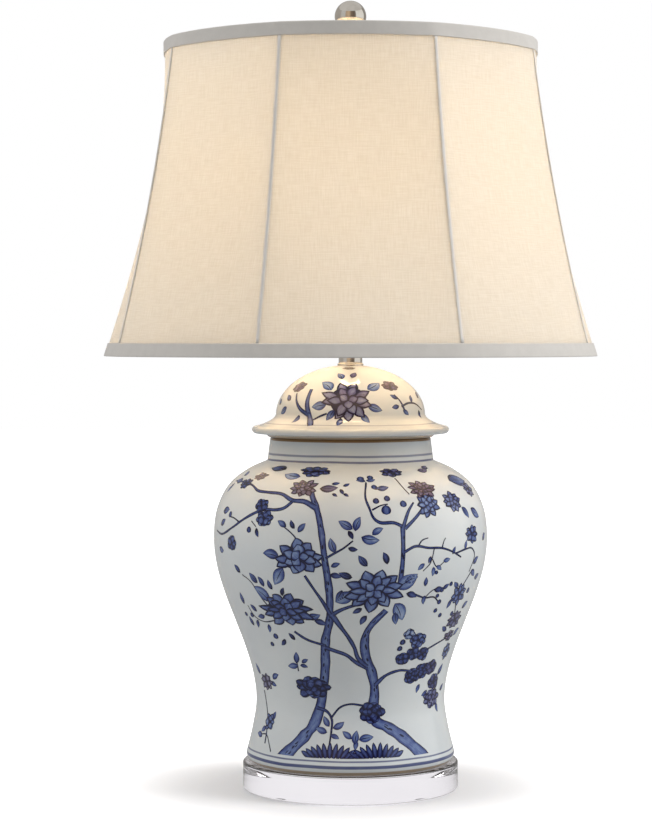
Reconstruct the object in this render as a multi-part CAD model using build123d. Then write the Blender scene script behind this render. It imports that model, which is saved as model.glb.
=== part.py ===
"""Ginger jar table lamp: porcelain jar and lid on a clear acrylic disc, with a harp and a panelled shade.

Frame: origin on the table under the lamp's axis, +Z up, front towards -Y. Millimetres.
Every height is stacked from the pieces below it, so a change of one thickness moves what stands on it.
"""

from build123d import *
import math
import os

# ---------------------------------------------------------------- driving dimensions (mm, degrees)

# acrylic disc and its feet
base_diameter = 203.2
base_thickness = 25.4
base_edge_round = 2.0
bumper_diameter = 12.0
bumper_thickness = 1.5
bumper_count = 4
bumper_inset = 16.0  # bumper centre to the disc's edge
bond_thickness = 0.4  # clear adhesive between disc and jar
bond_margin = 1.0  # jar foot ring left bare on each side of the bond
cut_past = 1.0  # how far a cutting shape runs past what it cuts

# porcelain jar: radii of the outside, heights above its own foot
jar_height = 305.0
jar_wall = 5.0
foot_radius = 98.2
foot_round = 4.0
foot_bulge = 1.1  # how far the rounded foot stands out from a straight slope
foot_line_height = 8.0  # where the rounded foot passes into the body
waist_radius = 89.0
waist_height = 57.0
belly_radius = 129.2
belly_height = 209.0
shoulder_height = 283.0  # where the body meets the neck
neck_root_radius = 78.6
neck_rim_radius = 75.8
rim_round = 2.0
foot_flare_slope = 0.2  # radius gained per mm going down to the foot
# the shoulder's roundness: (share of the rise, share of the draw-in) from belly to neck
shoulder_shape = [(0.38, 0.06), (0.69, 0.285), (0.885, 0.635)]
jar_floor_height = 12.0  # foot recess under the floor
jar_floor_thickness = 7.0
foot_ring_width = 9.0

# porcelain lid
lid_height = 67.0
lid_wall = 4.5
brim_radius = 93.2
brim_edge_height = 6.7
brim_underside = 2.2  # brim's underside above the jar's rim
brim_round = 3.4
dome_radius = 70.5
dome_foot_height = 21.0
lid_flat_radius = 12.5
lid_hole_radius = 8.0
lip_depth = 12.0
lip_wall = 4.0
lip_clearance = 1.0
# the brim's hollow top: (share of the way out, share of the rise) from the dome's foot to the edge
brim_shape = [(0.0, 1.0), (0.1, 0.72), (0.31, 0.46), (0.62, 0.2), (1.0, 0.0)]

# threaded pipe that clamps the lamp together, and its hardware
rod_diameter = 9.6
rod_bore = 6.5
rod_clearance = 0.1
rod_end_gap = 1.6  # pipe's lower end above the acrylic
nut_across_flats = 14.3
nut_thickness = 5.0
washer_diameter = 40.0
washer_thickness = 2.0
gasket_diameter = 34.0
gasket_thickness = 2.0

# cord bushing at the back of the jar
bushing_height = 34.0  # above the jar's foot
bushing_hole_radius = 5.0
bushing_barrel_clearance = 0.15
bushing_flange_radius = 8.0
bushing_flange_thickness = 2.4
bushing_bore_radius = 3.6
bushing_inner_length = 3.0

# nickel neck
neck_diameter = 22.4
neck_height = 34.7
neck_wall = 1.2
neck_end_thickness = 3.0
neck_bead_width = 1.1
neck_bead_height = 2.4
neck_bead_round = 1.0
spigot_length = 4.0
spigot_clearance = 0.3

# harp saddle
strip_thickness = 1.8
strip_width = 14.0
leg_spacing = 60.0  # between the harp's two legs
saddle_rise = 20.0
saddle_bend = 7.0
prong_width = 3.6
prong_height = 9.0

# harp
harp_wire = 4.6
harp_height = 253.5  # from the saddle's underside to the middle of the top plate
harp_half_width = 57.0
harp_slot_clearance = 0.1
harp_plate_thickness = 2.6
harp_plate_width = 9.0
harp_plate_half_length = 12.5
harp_plate_round = 3.0
harp_straight_leg = 38.0
harp_bend_reach = 1.04  # the bends' corners, as a share of the half width
harp_low_bend = 0.30  # heights of the lower and upper bends, as shares of the bowed part
harp_high_bend = 0.72
harp_crown_reach = 0.56  # where the crown turns level, as a share of the bends' reach
harp_bend_radii = (42.0, 51.0, 42.0, 20.0)
harp_plate_overlap = 2.0  # wire inside the plate's end
sleeve_bore_clearance = 0.2
sleeve_wall = 1.6
sleeve_length = 16.0

# swivel stud on the harp
stud_shank_radius = 2.6
stud_running_clearance = 0.08
stud_head_radius = 4.2
stud_head_thickness = 1.7
stud_head_chamfer = 0.85
stud_axial_clearance = 0.1
stud_disc_radius = 9.5
stud_disc_thickness = 2.4
stud_disc_gap = 0.3
stud_radius = 3.05
stud_length = 12.5
stud_tip_chamfer = 0.76

# lamp socket
saddle_nut_thickness = 3.2
cap_hub_radius = 7.0
cap_hub_height = 7.0
cap_radius = 17.4
cap_height = 20.0
cap_wall = 0.8
cap_shoulder_width = 2.4  # from the cap's shoulder out to its full radius
cap_shoulder_height = 5.0
cap_inner_ease = 0.3  # the inside of the shoulder, drawn in for an even wall
shell_radius = 16.4
shell_wall = 0.6
shell_height = 50.0
shell_overlap = 4.0  # shell inside the cap
shell_bead = 0.7
liner_gap = 0.1
liner_wall = 0.6
liner_end_gap = 1.0
socket_body_clearance = 0.3
socket_body_height = 23.0
screw_shell_bore = 13.25
screw_shell_wall = 0.4
screw_shell_height = 24.0
thread_pitch = 3.63
thread_depth = 0.55
contact_thickness = 0.5
contact_rise = 2.2
contact_width = 5.0
contact_length = 8.0
contact_clearance = 0.5  # leaf to the screw shell's floor
terminal_screw_radius = 2.6
terminal_screw_length = 3.0
terminal_head_height = 1.8
set_screw_radius = 1.8
set_screw_length = 4.0
screw_slot_width = 0.8
screw_slot_depth = 0.6
terminal_pocket_margin = 2.4

# rotary switch
switch_above_cap = 6.0  # shaft centre above the socket cap's rim
switch_shaft_radius = 2.2
switch_clearance = 0.08
switch_shaft_inner = 5.0  # shaft's inner end from the lamp's axis
switch_shaft_length = 27.0
switch_window_radius = 3.6
knob_gap = 3.0  # knob's inner face from the socket shell
knob_collar_radius = 4.6
knob_collar_length = 6.0
knob_paddle_width = 14.0
knob_paddle_length = 12.0
knob_paddle_thickness = 4.4
knob_paddle_round = 4.6
knob_paddle_overlap = 1.0  # paddle inside the collar

# bulb
bulb_length = 108.0
bulb_radius = 30.0
bulb_wall = 0.9
bulb_widest_height = 75.0  # above the tip
cap_crest_radius = 13.05
bulb_cap_wall = 0.4
bulb_cap_height = 22.0
bulb_tip_radius = 4.2
bulb_tip_height = 1.1
bulb_insulator_height = 3.0
bulb_stem_radius = 5.0
bulb_stem_height = 30.0
bulb_stem_tip_radius = 3.0
bulb_flare_edge = 1.0
bulb_flare_height = 6.0
bulb_lead_offset = 2.0  # lead wires from the stem's axis
# the envelope's side: (share of the rise, share of the swell) from the cap to the widest point
bulb_side_shape = [(0.0, 0.0), (0.14, 0.02), (0.33, 0.2), (0.66, 0.75), (1.0, 1.0)]
bulb_crown_angles = (25, 50, 72)
filament_half_width = 9.0
filament_wire = 0.8
filament_support_length = 16.0
filament_foot = 3.0  # straight stretch of each lead at the stem
bulb_fit = 0.1  # glass to cap

# shade: eight bowed panels between bowed ribs
shade_side_count = 8
shade_turn = 24.7  # the seam right of the front, from -Y towards +X
shade_height = 295.5
shade_recess = 12.5  # washer's seat below the shade's top edge
shade_top_radius = 178.0  # at a seam
shade_bottom_radius = 234.0
rib_bow = 5.0  # how far a rib bows inwards at mid height
panel_flat_top = 0.2  # 0 is a round ring, 1 a straight side
panel_flat_bottom = 0.15
panel_flat_gain = 0.65  # how much flatter a panel is between its rings than at them
panel_flat_rise = 1.5  # over 1, the flattest place is above mid height
panel_cloth = 0.6
panel_end_inset = 1.0
rib_wire = 2.2
ring_wire = 2.6
frame_gap = 0.1
lining_cloth = 0.4
trim_height = 12.4
trim_cloth = 1.4
trim_inner_cloth = 1.0
trim_inner_height = 10.0
trim_top = 1.0
trim_ease = 0.1  # room for the cloth inside the folded tape
notch_clearance = 0.4  # lining and tape cut clear of the spider's arms
seam_tape_width = 3.0
seam_tape_thickness = 0.7
washer_outer_radius = 13.0
washer_bore_clearance = 0.5
spider_washer_thickness = 1.8
spider_wire = 3.2
spider_arm_count = 4
spider_bend = 8.0
spider_bend_inset = 30.0  # where the arm starts to climb, in from the ring
spider_level_end = 12.0  # level stretch that meets the ring

# finial
ball_radius = 15.0
ball_flat_depth = 0.7
finial_stem_height = 22.4
finial_base_radius = 8.0
finial_base_height = 2.6
finial_waist_radius = 4.9
finial_cup_radius = 6.2
finial_bore_clearance = 0.25
finial_bore_end_gap = 0.8

# ---------------------------------------------------------------- stacked heights

base_radius = base_diameter / 2
base_bottom = bumper_thickness
base_top = base_bottom + base_thickness
jar_bottom = base_top + bond_thickness
jar_top = jar_bottom + jar_height
floor_bottom = jar_bottom + jar_floor_height
floor_top = floor_bottom + jar_floor_thickness
lid_seat = jar_top
lid_top = lid_seat + lid_height
neck_top = lid_top + neck_height
saddle_top = neck_top + strip_thickness
shoulder_z = neck_top + saddle_rise  # where the harp's legs and sleeves stand on the saddle
prong_top = shoulder_z + prong_height
cap_bottom = saddle_top + saddle_nut_thickness
cap_top = cap_bottom + cap_height
shell_bottom = cap_top - shell_overlap
shell_top = shell_bottom + shell_height
body_bottom = cap_bottom + cap_hub_height + 2 * cap_wall
body_top = body_bottom + socket_body_height
terminal_z = body_bottom + terminal_screw_radius + terminal_pocket_margin
socket_body_radius = shell_radius - shell_wall - liner_gap - liner_wall - socket_body_clearance
switch_z = cap_top + switch_above_cap
contact_top = body_top + contact_rise
plate_middle = neck_top + harp_height
plate_top = plate_middle + harp_plate_thickness / 2
disc_bottom = plate_top + stud_disc_gap
washer_seat = disc_bottom + stud_disc_thickness
washer_top = washer_seat + spider_washer_thickness
shade_top = washer_seat + shade_recess
shade_bottom = shade_top - shade_height
rod_radius = rod_diameter / 2
rod_hole = rod_radius + rod_clearance
leg_y = leg_spacing / 2
seam_step = 360.0 / shade_side_count
panel_sagitta = 1 - math.cos(math.radians(seam_step / 2))


# ---------------------------------------------------------------- shared helpers

def at(radius, z):
    """A point of a turned outline, in the X-Z plane."""
    return (radius, 0, z)


def turned(outline):
    """The solid of revolution of a closed outline of straight sides, as (radius, height) points."""
    return revolve(make_face(Polyline(*[at(r, z) for r, z in outline], close=True)), Axis.Z)


def tube(outer, inner, low, high):
    """A plain ring or bush."""
    return turned([(inner, low), (outer, low), (outer, high), (inner, high)])


def rod_shape(radius, low, high):
    return turned([(0, low), (radius, low), (radius, high), (0, high)])


def hexagon(across_flats, bore, low, high):
    nut = extrude(RegularPolygon(across_flats / 2, 6, major_radius=False), high - low)
    return nut.moved(Location((0, 0, low))) - rod_shape(bore, low - cut_past, high + cut_past)


def edges_of_radius(shape, radius):
    return [e for e in shape.edges().filter_by(GeomType.CIRCLE) if math.isclose(e.radius, radius)]


def offset_inwards(points, distance):
    """Moves each point of an outline (radius, height) by distance along its inward normal."""
    moved = []
    for i, (r, z) in enumerate(points):
        r0, z0 = points[max(i - 1, 0)]
        r1, z1 = points[min(i + 1, len(points) - 1)]
        dr, dz = r1 - r0, z1 - z0
        length = math.hypot(dr, dz)
        moved.append((r - dz / length * distance, z + dr / length * distance))
    return moved


def save(name, shape):
    """Writes one node. A list of solids becomes a group."""
    solids = shape if isinstance(shape, list) else shape.solids()
    solids = [s for item in solids for s in item.solids()]
    export_step(Compound(children=solids) if len(solids) > 1 else solids[0], f"parts/{name}.step")


# ---------------------------------------------------------------- base

def acrylic_base():
    disc = Location((0, 0, base_bottom)) * extrude(Circle(base_radius), base_thickness)
    return fillet(disc.edges(), base_edge_round)


def base_bumpers():
    circle = base_radius - bumper_inset
    disc = extrude(Circle(bumper_diameter / 2), bumper_thickness)
    return [disc.moved(loc) for loc in PolarLocations(circle, bumper_count, start_angle=45)]


def foot_bond():
    outer = foot_radius - foot_round - bond_margin
    inner = foot_radius - foot_ring_width + bond_margin
    return tube(outer, inner, base_top, jar_bottom)


# ---------------------------------------------------------------- jar

def smooth(t):
    return t * t * (3 - 2 * t)


def jar_body_points():
    """The body's outside from the foot line to the neck: a flared foot, an S curve, a rounded shoulder."""
    foot_span = waist_height - foot_line_height
    points = []
    for t in (0.0, 0.5):
        flare = (t - 2 * t * t + t ** 3) * foot_flare_slope * foot_span
        radius = foot_radius + (waist_radius - foot_radius) * smooth(t) - flare
        points.append((radius, jar_bottom + foot_line_height + t * foot_span))
    for t in (0.0, 0.17, 0.34, 0.5, 0.66, 0.83, 1.0):
        radius = waist_radius + (belly_radius - waist_radius) * smooth(t)
        points.append((radius, jar_bottom + waist_height + t * (belly_height - waist_height)))
    for rise, draw_in in shoulder_shape + [(1.0, 1.0)]:
        radius = belly_radius - (belly_radius - neck_root_radius) * draw_in
        points.append((radius, jar_bottom + belly_height + rise * (shoulder_height - belly_height)))
    return points


def jar_solid():
    outside = jar_body_points()
    # the inside starts on the floor, so the points below it are left out
    inside = [p for p in offset_inwards(outside, jar_wall) if p[1] > floor_top + jar_wall]
    neck_root = outside[-1]
    rim = (neck_rim_radius, jar_top)
    ring_inner = foot_radius - foot_ring_width
    inner_neck = neck_rim_radius - jar_wall
    foot_curve = at(foot_radius - foot_round / 2 + foot_bulge, jar_bottom + foot_line_height / 2)
    edges = [
        Spline(*[at(*p) for p in outside]),
        Line(at(*neck_root), at(rim[0], rim[1] - rim_round)),
        Line(at(rim[0], rim[1] - rim_round), at(rim[0] - rim_round, rim[1])),
        Line(at(rim[0] - rim_round, rim[1]), at(inner_neck, rim[1])),
        Line(at(inner_neck, rim[1]), at(inner_neck, neck_root[1])),
        Line(at(inner_neck, neck_root[1]), at(*inside[-2])),
        Spline(*[at(*p) for p in reversed(inside[:-1])]),
        Line(at(*inside[0]), at(inside[0][0], floor_top)),
        Line(at(inside[0][0], floor_top), at(rod_hole, floor_top)),
        Line(at(rod_hole, floor_top), at(rod_hole, floor_bottom)),
        Line(at(rod_hole, floor_bottom), at(ring_inner, floor_bottom)),
        Line(at(ring_inner, floor_bottom), at(ring_inner, jar_bottom)),
        Line(at(ring_inner, jar_bottom), at(foot_radius - foot_round, jar_bottom)),
        ThreePointArc(at(foot_radius - foot_round, jar_bottom), foot_curve, at(*outside[0])),
    ]
    return revolve(make_face(Wire(edges)), Axis.Z)


def bushing_plane():
    """The bushing's axis: out of the back of the jar, along +Y."""
    return Plane(origin=(0, 0, jar_bottom + bushing_height), x_dir=(1, 0, 0), z_dir=(0, 1, 0))


def jar():
    drill = bushing_plane() * extrude(Circle(bushing_hole_radius), belly_radius)
    return jar_solid() - drill


def jar_radius_at(height):
    """The body's outside radius at a height above the foot, between the outline's points."""
    points = [(z - jar_bottom, r) for r, z in jar_body_points()]
    for (z0, r0), (z1, r1) in zip(points, points[1:]):
        if z0 <= height <= z1:
            return r0 + (r1 - r0) * (height - z0) / (z1 - z0)
    return points[0][1]


def cord_bushing():
    """A flanged bushing whose flange is shaped to the jar, with a collar inside the wall."""
    wall_at = jar_radius_at(bushing_height)
    inner_end = wall_at - jar_wall - bushing_inner_length
    outer_end = wall_at + bushing_flange_thickness
    barrel_radius = bushing_hole_radius - bushing_barrel_clearance
    plane = bushing_plane()
    barrel = plane.offset(inner_end) * extrude(Circle(barrel_radius), outer_end - inner_end)
    flange_start = wall_at - bushing_flange_thickness
    flange = plane.offset(flange_start) * extrude(Circle(bushing_flange_radius), outer_end - flange_start)
    flange = flange - jar_solid()
    flange = max(flange.solids(), key=lambda s: s.center().Y)
    bore_length = outer_end - inner_end + 2 * cut_past
    bore = plane.offset(inner_end - cut_past) * extrude(Circle(bushing_bore_radius), bore_length)
    return barrel + flange - bore


# ---------------------------------------------------------------- lid

def brim_points():
    """The brim's top: a hollow curve from the dome's foot out to the rounded edge."""
    span_r = brim_radius - brim_round - dome_radius
    low = brim_edge_height + brim_round
    span_z = dome_foot_height - low
    return [at(dome_radius + u * span_r, lid_seat + low + v * span_z) for u, v in brim_shape]


def dome_points(inset):
    """The dome: part of an ellipse's quarter, from its foot to the flat at the top."""
    radius = dome_radius - inset
    end = math.acos(lid_flat_radius / radius)
    rise = (lid_height - dome_foot_height - inset) / math.sin(end)
    angles = [end * i / 6 for i in range(7)]
    return [at(radius * math.cos(a), lid_seat + dome_foot_height + rise * math.sin(a)) for a in angles]


def jar_lid():
    brim = brim_points()
    outer_dome = dome_points(0)
    inner_dome = dome_points(lid_wall)
    lip_outer = neck_rim_radius - jar_wall - lip_clearance
    lip_inner = lip_outer - lip_wall
    lip_foot = lid_seat - lip_depth
    edge_z = lid_seat + brim_edge_height
    seat_edge = at(neck_rim_radius + rim_round, lid_seat)
    under_start = at(neck_rim_radius + 2 * rim_round, lid_seat + brim_underside)
    under_end = at(brim_radius - brim_round, edge_z - brim_round)
    edges = [
        Spline(*outer_dome),
        Line(outer_dome[-1], at(lid_hole_radius, lid_top)),
        Line(at(lid_hole_radius, lid_top), at(lid_hole_radius, lid_top - lid_wall)),
        Line(at(lid_hole_radius, lid_top - lid_wall), inner_dome[-1]),
        Spline(*reversed(inner_dome)),
        Line(inner_dome[0], at(lip_inner, lid_seat)),
        Line(at(lip_inner, lid_seat), at(lip_inner, lip_foot)),
        Line(at(lip_inner, lip_foot), at(lip_outer, lip_foot)),
        Line(at(lip_outer, lip_foot), at(lip_outer, lid_seat)),
        Line(at(lip_outer, lid_seat), seat_edge),
        Line(seat_edge, under_start),
        Line(under_start, under_end),
        ThreePointArc(under_end, at(brim_radius, edge_z), brim[-1]),
        Spline(*reversed(brim)),
    ]
    return revolve(make_face(Wire(edges)), Axis.Z)


# ---------------------------------------------------------------- pipe, nuts and neck

def lamp_rod():
    bottom = base_top + rod_end_gap
    top = cap_bottom + cap_hub_height
    return tube(rod_radius, rod_bore / 2, bottom, top)


def rod_gasket():
    return tube(gasket_diameter / 2, rod_hole, floor_bottom - gasket_thickness, floor_bottom)


def rod_washer():
    high = floor_bottom - gasket_thickness
    return tube(washer_diameter / 2, rod_hole, high - washer_thickness, high)


def rod_nut():
    high = floor_bottom - gasket_thickness - washer_thickness
    return hexagon(nut_across_flats, rod_hole, high - nut_thickness, high)


def neck():
    outer = neck_diameter / 2
    inner = outer - neck_wall
    spigot = lid_hole_radius - spigot_clearance
    bead = outer + neck_bead_width
    shell = turned([
        (rod_hole, lid_top - spigot_length), (spigot, lid_top - spigot_length), (spigot, lid_top),
        (bead, lid_top), (bead, lid_top + neck_bead_height), (outer, lid_top + neck_bead_height),
        (outer, neck_top), (rod_hole, neck_top), (rod_hole, neck_top - neck_end_thickness),
        (inner, neck_top - neck_end_thickness), (inner, lid_top + neck_end_thickness),
        (rod_hole, lid_top + neck_end_thickness),
    ])
    return fillet(edges_of_radius(shell, bead), neck_bead_round)


# ---------------------------------------------------------------- harp and saddle

def saddle_half(side):
    """One arm of the saddle, from the middle out and up to its prong."""
    path = FilletPolyline(
        (0, 0, neck_top + strip_thickness / 2),
        (0, side * leg_y, neck_top + strip_thickness / 2),
        (0, side * leg_y, shoulder_z),
        radius=saddle_bend,
    )
    start = Plane(origin=path @ 0, z_dir=path % 0, x_dir=(1, 0, 0))
    prong = Location((0, side * leg_y, (shoulder_z + prong_top) / 2)) * Box(
        prong_width, strip_thickness, prong_height)
    return sweep(start * Rectangle(strip_width, strip_thickness), path) + prong


def harp_saddle():
    strip = saddle_half(1) + saddle_half(-1)
    return strip - rod_shape(rod_hole, neck_top - cut_past, saddle_top + cut_past)


def saddle_nut():
    return hexagon(nut_across_flats, rod_hole, saddle_top, cap_bottom)


def harp_half(side):
    """One leg: straight in the sleeve, out to the widest point, then in to the top plate."""
    leg_top = shoulder_z + harp_straight_leg
    span = plate_middle - leg_top
    reach = harp_half_width * harp_bend_reach
    path = FilletPolyline(
        (0, side * leg_y, shoulder_z),
        (0, side * leg_y, leg_top),
        (0, side * reach, leg_top + span * harp_low_bend),
        (0, side * reach, leg_top + span * harp_high_bend),
        (0, side * reach * harp_crown_reach, plate_middle),
        (0, side * (harp_plate_half_length - harp_plate_overlap), plate_middle),
        radius=list(harp_bend_radii),
    )
    wire = sweep(Plane(origin=path @ 0, z_dir=path % 0) * Circle(harp_wire / 2), path)
    slot_width = strip_thickness + 2 * harp_slot_clearance
    slot_height = prong_height + harp_slot_clearance
    slot = Box(harp_wire + 2 * cut_past, slot_width, slot_height)
    return wire - Location((0, side * leg_y, shoulder_z + slot_height / 2)) * slot


def harp():
    plate = Location((0, 0, plate_middle)) * Box(
        harp_plate_width, 2 * harp_plate_half_length, harp_plate_thickness)
    plate = fillet(plate.edges().filter_by(Axis.Z), harp_plate_round)
    hole_radius = stud_shank_radius + stud_running_clearance
    hole = rod_shape(hole_radius, plate_middle - harp_wire, plate_top + harp_wire)
    return harp_half(1) + harp_half(-1) + plate - hole


def harp_sleeve(side):
    inner = harp_wire / 2 + sleeve_bore_clearance
    sleeve = tube(inner + sleeve_wall, inner, shoulder_z, shoulder_z + sleeve_length)
    rims = edges_of_radius(sleeve, inner + sleeve_wall)
    return fillet(rims, sleeve_wall / 2).moved(Location((0, side * leg_y, 0)))


def harp_stud():
    head_top = plate_middle - harp_plate_thickness / 2 - stud_axial_clearance
    top = washer_top + stud_length - spider_washer_thickness
    head_bottom = head_top - stud_head_thickness
    return turned([
        (0, head_bottom), (stud_head_radius - stud_head_chamfer, head_bottom),
        (stud_head_radius, head_bottom + stud_head_chamfer), (stud_head_radius, head_top),
        (stud_shank_radius, head_top), (stud_shank_radius, disc_bottom), (stud_disc_radius, disc_bottom),
        (stud_disc_radius, washer_seat), (stud_radius, washer_seat),
        (stud_radius, top - stud_tip_chamfer), (stud_radius - stud_tip_chamfer, top), (0, top),
    ])


# ---------------------------------------------------------------- socket

def socket_cap():
    """A hub on the pipe and a cup with a sloping shoulder, drilled for the set screw."""
    hub, wide, wall = cap_hub_radius, cap_radius, cap_wall
    hub_top = cap_bottom + cap_hub_height
    cup = hub_top + cap_shoulder_height
    shoulder = wide - cap_shoulder_width
    shape = turned([
        (rod_hole, cap_bottom), (hub, cap_bottom), (hub, hub_top - wall), (shoulder, hub_top),
        (wide, cup), (wide, cap_top), (wide - wall, cap_top), (wide - wall, cup + wall / 2),
        (shoulder - cap_inner_ease, hub_top + wall), (rod_hole, hub_top + wall),
    ])
    hole = Location((cap_hub_radius, 0, cap_bottom + cap_hub_height / 2), (0, 90, 0)) * Cylinder(
        set_screw_radius + rod_clearance, 2 * (cap_hub_radius - rod_radius))
    return shape - hole


def cap_set_screw():
    z = cap_bottom + cap_hub_height / 2
    inner_end = rod_radius + rod_clearance
    plane = Plane(origin=(inner_end, 0, z), z_dir=(1, 0, 0))
    screw = plane * extrude(Circle(set_screw_radius), set_screw_length)
    slot = Box(2 * screw_slot_depth, screw_slot_width, 3 * set_screw_radius)
    return screw - Location((inner_end + set_screw_length, 0, z)) * slot


def side_bore(radius, start, end):
    """A hole or bar along +X at the switch's height."""
    return Plane(origin=(start, 0, switch_z), z_dir=(1, 0, 0)) * extrude(Circle(radius), end - start)


def socket_shell():
    bead = shell_radius + shell_bead
    inner = shell_radius - shell_wall
    shape = turned([
        (inner, shell_bottom), (shell_radius, shell_bottom), (shell_radius, shell_top - 2 * shell_bead),
        (bead, shell_top - shell_bead), (bead, shell_top), (inner, shell_top),
    ])
    return shape - side_bore(switch_window_radius, 0, bead + cut_past)


def socket_liner():
    outer = shell_radius - shell_wall - liner_gap
    ring = tube(outer, outer - liner_wall, shell_bottom, shell_top - liner_end_gap)
    return ring - side_bore(switch_window_radius, 0, outer + cut_past)


def socket_body():
    block = rod_shape(socket_body_radius, body_bottom, body_top)
    pocket_size = 2 * (terminal_screw_radius + terminal_pocket_margin)
    for side in (1, -1):
        pocket = Box(pocket_size, 2 * terminal_screw_length, pocket_size)
        block -= Location((0, side * socket_body_radius, terminal_z)) * pocket
    hole_radius = switch_shaft_radius + switch_clearance
    return block - side_bore(hole_radius, switch_shaft_inner, socket_body_radius + cut_past)


def terminal_screws():
    screws = []
    for side in (1, -1):
        inner_end = side * (socket_body_radius - terminal_screw_length)
        plane = Plane(origin=(0, inner_end, terminal_z), z_dir=(0, side, 0))
        slot = Box(3 * terminal_screw_radius, 2 * screw_slot_depth, screw_slot_width)
        head = plane * extrude(Circle(terminal_screw_radius), terminal_head_height)
        screws.append(head - Location((0, inner_end + side * terminal_head_height, terminal_z)) * slot)
    return screws


def wavy_wall(radius, low, high, wall, flip):
    """A rolled screw wall, drawn as rings of one pitch: radius is its crest, towards the mating thread."""
    count = int((high - low) / thread_pitch)
    inner, outer = [], []
    for i in range(2 * count + 1):
        z = low + i * thread_pitch / 2
        r = radius + flip * (thread_depth if i % 2 else 0)
        inner.append((r, z))
        outer.append((r + flip * wall, z))
    return turned(inner + list(reversed(outer)))


def screw_shell():
    """The rolled shell and its floor, which has a hole for the centre contact."""
    wall = wavy_wall(screw_shell_bore, body_top, body_top + screw_shell_height, screw_shell_wall, 1)
    hole = math.hypot(contact_length, contact_width) / 2 + contact_clearance
    return wall + tube(screw_shell_bore + screw_shell_wall, hole, body_top, body_top + screw_shell_wall)


def contact_leaf(x, length, low, high):
    return Location((x, 0, (low + high) / 2)) * Box(length, contact_width, high - low)


def centre_contact():
    """A brass leaf folded up from the socket body to touch the bulb's tip."""
    foot = contact_leaf(0, contact_length, body_top, body_top + contact_thickness)
    post = contact_leaf((contact_length - contact_thickness) / 2, contact_thickness, body_top, contact_top)
    tongue = contact_leaf(0, contact_length, contact_top - contact_thickness, contact_top)
    return foot + post + tongue


def switch_shaft():
    return side_bore(switch_shaft_radius, switch_shaft_inner, switch_shaft_inner + switch_shaft_length)


def switch_knob():
    start = shell_radius + knob_gap
    collar = side_bore(knob_collar_radius, start, start + knob_collar_length)
    paddle_x = start + knob_collar_length - knob_paddle_overlap + knob_paddle_length / 2
    paddle = Location((paddle_x, 0, switch_z)) * Box(
        knob_paddle_length, knob_paddle_width, knob_paddle_thickness)
    paddle = fillet(paddle.edges().filter_by(Axis.Z), knob_paddle_round)
    return collar + paddle - side_bore(switch_shaft_radius, 0, switch_shaft_inner + switch_shaft_length)


# ---------------------------------------------------------------- bulb

bulb_tip = contact_top
insulator_bottom = bulb_tip + bulb_tip_height
bulb_cap_bottom = insulator_bottom + bulb_insulator_height
bulb_cap_top = bulb_cap_bottom + bulb_cap_height
bulb_top = bulb_tip + bulb_length
bulb_widest = bulb_tip + bulb_widest_height
bulb_neck_radius = cap_crest_radius - bulb_cap_wall - thread_depth - bulb_fit


def bulb_contact():
    return rod_shape(bulb_tip_radius, bulb_tip, insulator_bottom)


def bulb_insulator():
    return turned([(0, insulator_bottom), (bulb_tip_radius, insulator_bottom),
                   (bulb_neck_radius, bulb_cap_bottom), (0, bulb_cap_bottom)])


def bulb_cap():
    return wavy_wall(cap_crest_radius, bulb_cap_bottom, bulb_cap_top, bulb_cap_wall, -1)


def bulb_profile(inset):
    """The envelope: a straight neck in the cap, a swelling cone and a round crown."""
    rise = bulb_widest - bulb_cap_top
    swell = bulb_radius - bulb_neck_radius
    side = [(bulb_neck_radius - inset + v * swell, bulb_cap_top + u * rise) for u, v in bulb_side_shape]
    crown = bulb_top - inset - bulb_widest
    for degrees in bulb_crown_angles:
        a = math.radians(degrees)
        side.append(((bulb_radius - inset) * math.cos(a), bulb_widest + crown * math.sin(a)))
    return side + [(0.0, bulb_top - inset)]


def bulb_glass():
    def filled(inset):
        profile = bulb_profile(inset)
        foot = (profile[0][0], bulb_cap_bottom + bulb_cap_height / 2)
        edges = [
            Line(at(0, foot[1]), at(*foot)),
            Line(at(*foot), at(*profile[0])),
            Spline(*[at(*p) for p in profile], tangents=[(0, 0, 1), (-1, 0, 0)]),
            Line(at(*profile[-1]), at(0, foot[1])),
        ]
        return revolve(make_face(Wire(edges)), Axis.Z)
    return filled(0) - filled(bulb_wall)


def bulb_stem():
    """The glass mount: a flare closing the neck and a rod that carries the filament."""
    low = bulb_cap_bottom + bulb_cap_height / 2
    wide = bulb_neck_radius - bulb_wall - frame_gap
    high = bulb_cap_top + bulb_stem_height
    return turned([(0, low), (wide, low), (wide, low + bulb_flare_edge),
                   (bulb_stem_radius, low + bulb_flare_height), (bulb_stem_tip_radius, high), (0, high)])


def bulb_filament():
    """Two lead wires and the filament between them."""
    base = bulb_cap_top + bulb_stem_height
    top = base + filament_support_length
    lead = bulb_lead_offset
    path = FilletPolyline(
        (-lead, 0, base), (-lead, 0, base + filament_foot), (-filament_half_width, 0, top),
        (filament_half_width, 0, top), (lead, 0, base + filament_foot), (lead, 0, base),
        radius=2 * filament_wire,
    )
    return sweep(Plane(origin=path @ 0, z_dir=path % 0) * Circle(filament_wire / 2), path)


# ---------------------------------------------------------------- shade

def share_down(z):
    """0 at the shade's top edge, 1 at its bottom edge."""
    return (shade_top - z) / shade_height


def seam_radius(z):
    """The shade's outside at a seam: a straight flare less the rib's inward bow."""
    t = share_down(z)
    return shade_top_radius + (shade_bottom_radius - shade_top_radius) * t - 4 * rib_bow * t * (1 - t)


def mid_radius(z):
    """The shade's outside in the middle of a panel."""
    t = share_down(z)
    between_rings = panel_flat_top + (panel_flat_bottom - panel_flat_top) * t
    skewed = t * (panel_flat_rise - (panel_flat_rise - 1) * t)
    flatness = between_rings + panel_flat_gain * math.sin(math.pi * skewed)
    return seam_radius(z) * (1 - flatness * panel_sagitta)


def seam_angle(index):
    """Degrees from +X, counter-clockwise from above."""
    return shade_turn - 90 + index * seam_step


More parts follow.
